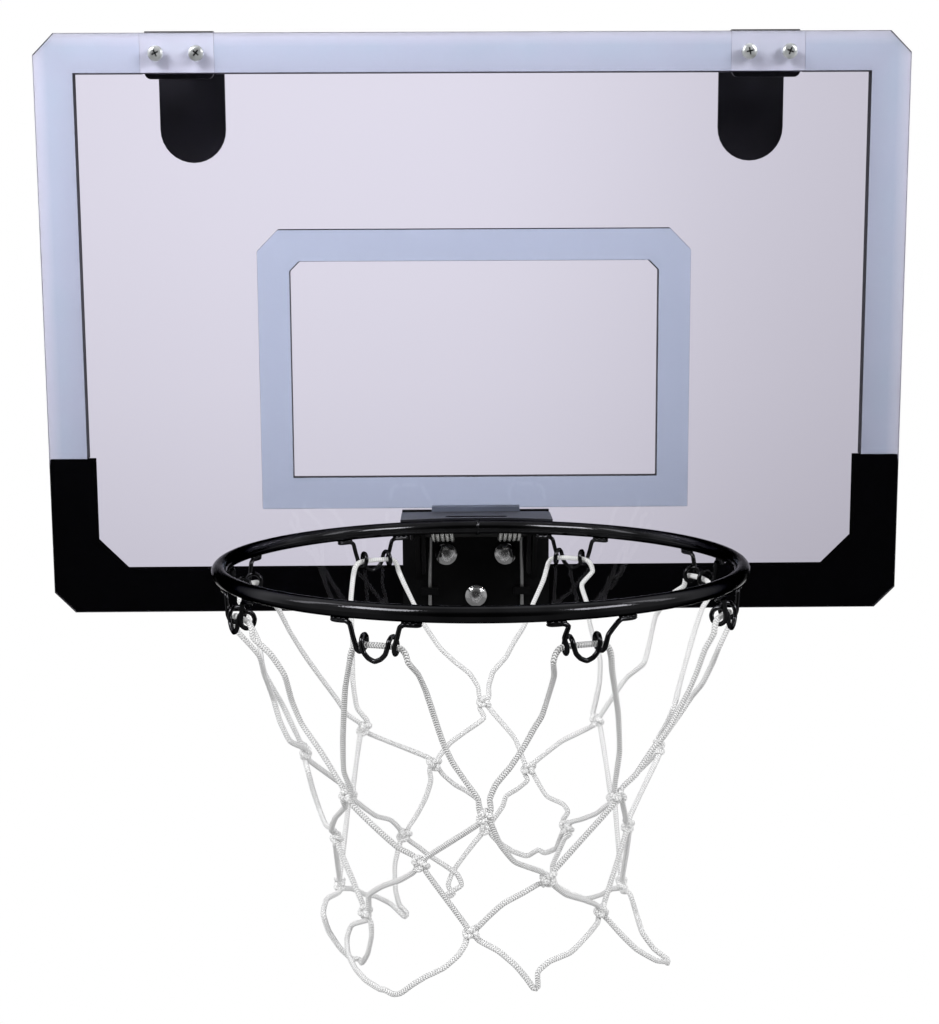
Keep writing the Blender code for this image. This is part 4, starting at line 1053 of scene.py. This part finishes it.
def make_world():
    """White to the camera and through the panel, a studio in mirrors, and even light elsewhere."""
    world = bpy.data.worlds.new("world")
    bpy.context.scene.world = world
    world.use_nodes = True
    tree = world.node_tree
    path = node(tree, "ShaderNodeLightPath")
    transmitted = path["Is Transmission Ray"]
    direct = maths(tree, "LESS_THAN", path["Diffuse Depth"], 0.5)
    sharp = maths(tree, "MAXIMUM", path["Is Glossy Ray"], transmitted)
    way = axes(tree, node(tree, "ShaderNodeTexCoord")["Generated"])[1]
    # The studio is dark in front of the board, grey at its sides and white behind it
    sides = spread(tree, way, -0.93, -0.6, 0.025, 0.32)
    back = spread(tree, way, -0.1, 0.35, 0.0, 0.68)
    studio = maths(tree, "ADD", sides, back)
    mirrored = blended(tree, maths(tree, "MULTIPLY", sharp, direct), grey(0.55), studio)
    straight = maths(tree, "MULTIPLY", transmitted, unbounced(tree, path))
    seen = maths(tree, "MAXIMUM", path["Is Camera Ray"], straight)
    feed(tree, tree.nodes["Background"], {"Color": blended(tree, seen, mirrored, grey(1))})


def make_lamps():
    """Two soft boxes in front, the left one stronger, and a weak tall one on each side."""
    for name, place, (wide, high), power in LAMPS:
        data = bpy.data.lights.new(name, "AREA")
        data.shape = "RECTANGLE"
        data.size, data.size_y = wide, high
        data.energy = power
        lamp = bpy.data.objects.new(name, data)
        bpy.context.scene.collection.objects.link(lamp)
        lamp.location = place
        aim = Vector(LAMP_AIM) - Vector(place)
        lamp.rotation_euler = aim.to_track_quat("-Z", "Y").to_euler()


# The scene

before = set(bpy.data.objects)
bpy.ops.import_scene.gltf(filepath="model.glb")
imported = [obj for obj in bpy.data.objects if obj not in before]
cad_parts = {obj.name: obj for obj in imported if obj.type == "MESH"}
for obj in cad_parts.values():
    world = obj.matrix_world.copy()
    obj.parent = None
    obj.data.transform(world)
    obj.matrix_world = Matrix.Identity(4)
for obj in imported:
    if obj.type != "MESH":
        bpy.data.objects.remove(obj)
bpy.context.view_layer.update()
bpy.context.scene.view_settings.view_transform = "Standard"
make_camera()
make_floor()
make_world()
make_lamps()

FINISH = finish_group()
PANEL = clear_plastic()
PANEL_EDGE = cut_edge("sawn edge", (0.30, 0.30, 0.34))
PANEL_CORNER = cut_edge("dark cut corner", (0.03, 0.03, 0.03))
# Each foam's second colour is the painted shade of its cut sides
BLUE = foam("blue foam", (0.645, 0.73, 0.775), (0.03, 0.03, 0.035),
            outer=(0.88, 0.92, 0.92), inner=(0.58, 0.64, 0.68))
# The target's foam: the blue foam a little greyer, and darker as painted shade of the board's
# middle
SHADED_GREYER_BLUE = foam("greyer blue foam with painted shade", (0.588, 0.68, 0.735), (0.05, 0.05, 0.055), shaded_tops=True)
PALE = foam("pale foam", (0.765, 0.81, 0.82), (0.30, 0.30, 0.34),
            outer=(0.84, 0.89, 0.90), inner=(0.73, 0.77, 0.785))
BLACK_FOAM = foam("black foam", (0.0015, 0.0015, 0.002), (0.002, 0.002, 0.002), shine=0.0)
SATIN = coated_steel("satin black coat", (0.006, 0.006, 0.0085), 0.38, 0.5)
HOOK_COAT = coated_steel("darker satin coat", (0.0035, 0.0035, 0.0055), 0.40, 0.4)
# The tongue's paler coat is a painted reflection on the black coat
TONGUE_REFLECTION_COAT = coated_steel("satin coat with painted reflection", (0.028, 0.033, 0.05), 0.38, 0.5)
GLOSS = coated_steel("gloss black coat", (0.026, 0.026, 0.028), 0.11, 0.5, depth=0.0001,
                     clouds=0.03, grain=700.0, deep=True)
MATT = coated_steel("matt black coat", (0.0012, 0.0012, 0.0015), 0.45, 0.12, depth=0.0001)
CHROME = plated("chrome", (0.90, 0.90, 0.91), 0.13, grain=420.0, depth=0.0005, dull=0.75)
BRIGHT_ZINC = plated("bright zinc", (0.92, 0.95, 0.96), 0.2, grain=900.0, depth=0.0005,
                     dull=0.45, metallic=0.65)
ZINC = plated("zinc plate", (0.92, 0.92, 0.90), 0.26, grain=1800.0, depth=0.0001, dull=0.9,
              metallic=0.9)
# The same zinc, darker, as painted shade on the springs' legs
SHADED_ZINC = plated("zinc plate with painted shade", (0.42, 0.42, 0.42), 0.34, grain=1800.0, depth=0.00003,
                   dull=0.85, metallic=0.9)
DARK_STEEL = plated("dark oiled steel", (0.05, 0.05, 0.05), 0.35, grain=900.0, depth=0.0001,
                    dull=0.7)
# Each cord's two greys are painted shade in its grooves, at the front and at the back
BRAID = braided_cord("braided cord", 0.24, 0.66)
KNOTTED = braided_cord("knotted cord", 0.45, 0.74)

make_panel(PANEL, PANEL_EDGE, PANEL_CORNER)
for part in ("top", "left", "right"):
    make_foam(f"foam_{part}", f"foam_strip_{part}", BLUE)
make_foam("target_frame", "target_square", SHADED_GREYER_BLUE, 0.0004)
make_foam("lower_band", "black_band", BLACK_FOAM)
for side in ("left", "right"):
    make_foam(f"hook_pad_{side}", f"pad_{side}", PALE, 0.0001, 0.00025)
    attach(copy_of(f"door_hook_{side}", f"hook_strip_{side}", HOOK_COAT, 0.0003), "board")
make_screws(BRIGHT_ZINC, DARK_STEEL)
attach(copy_of("mount_bracket", "bracket", MATT, 0.00035), "board")
make_bolts(CHROME)
for number in (1, 2, 3):
    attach(copy_of(f"mount_washer_{number}", f"washer_{number}", ZINC, 0.00025), "board")
    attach(copy_of(f"mount_nut_{number}", f"nut_{number}", ZINC, 0.0004), "board")
make_pin(DARK_STEEL)
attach(copy_of("hinge_clip", "pin_clip", DARK_STEEL, 0.0002), "board")
make_springs(ZINC, SHADED_ZINC)
make_plate(SATIN, MATT, TONGUE_REFLECTION_COAT)
make_ring(GLOSS)
make_net_hooks(GLOSS)
make_cords(BRAID)
make_knots(KNOTTED)
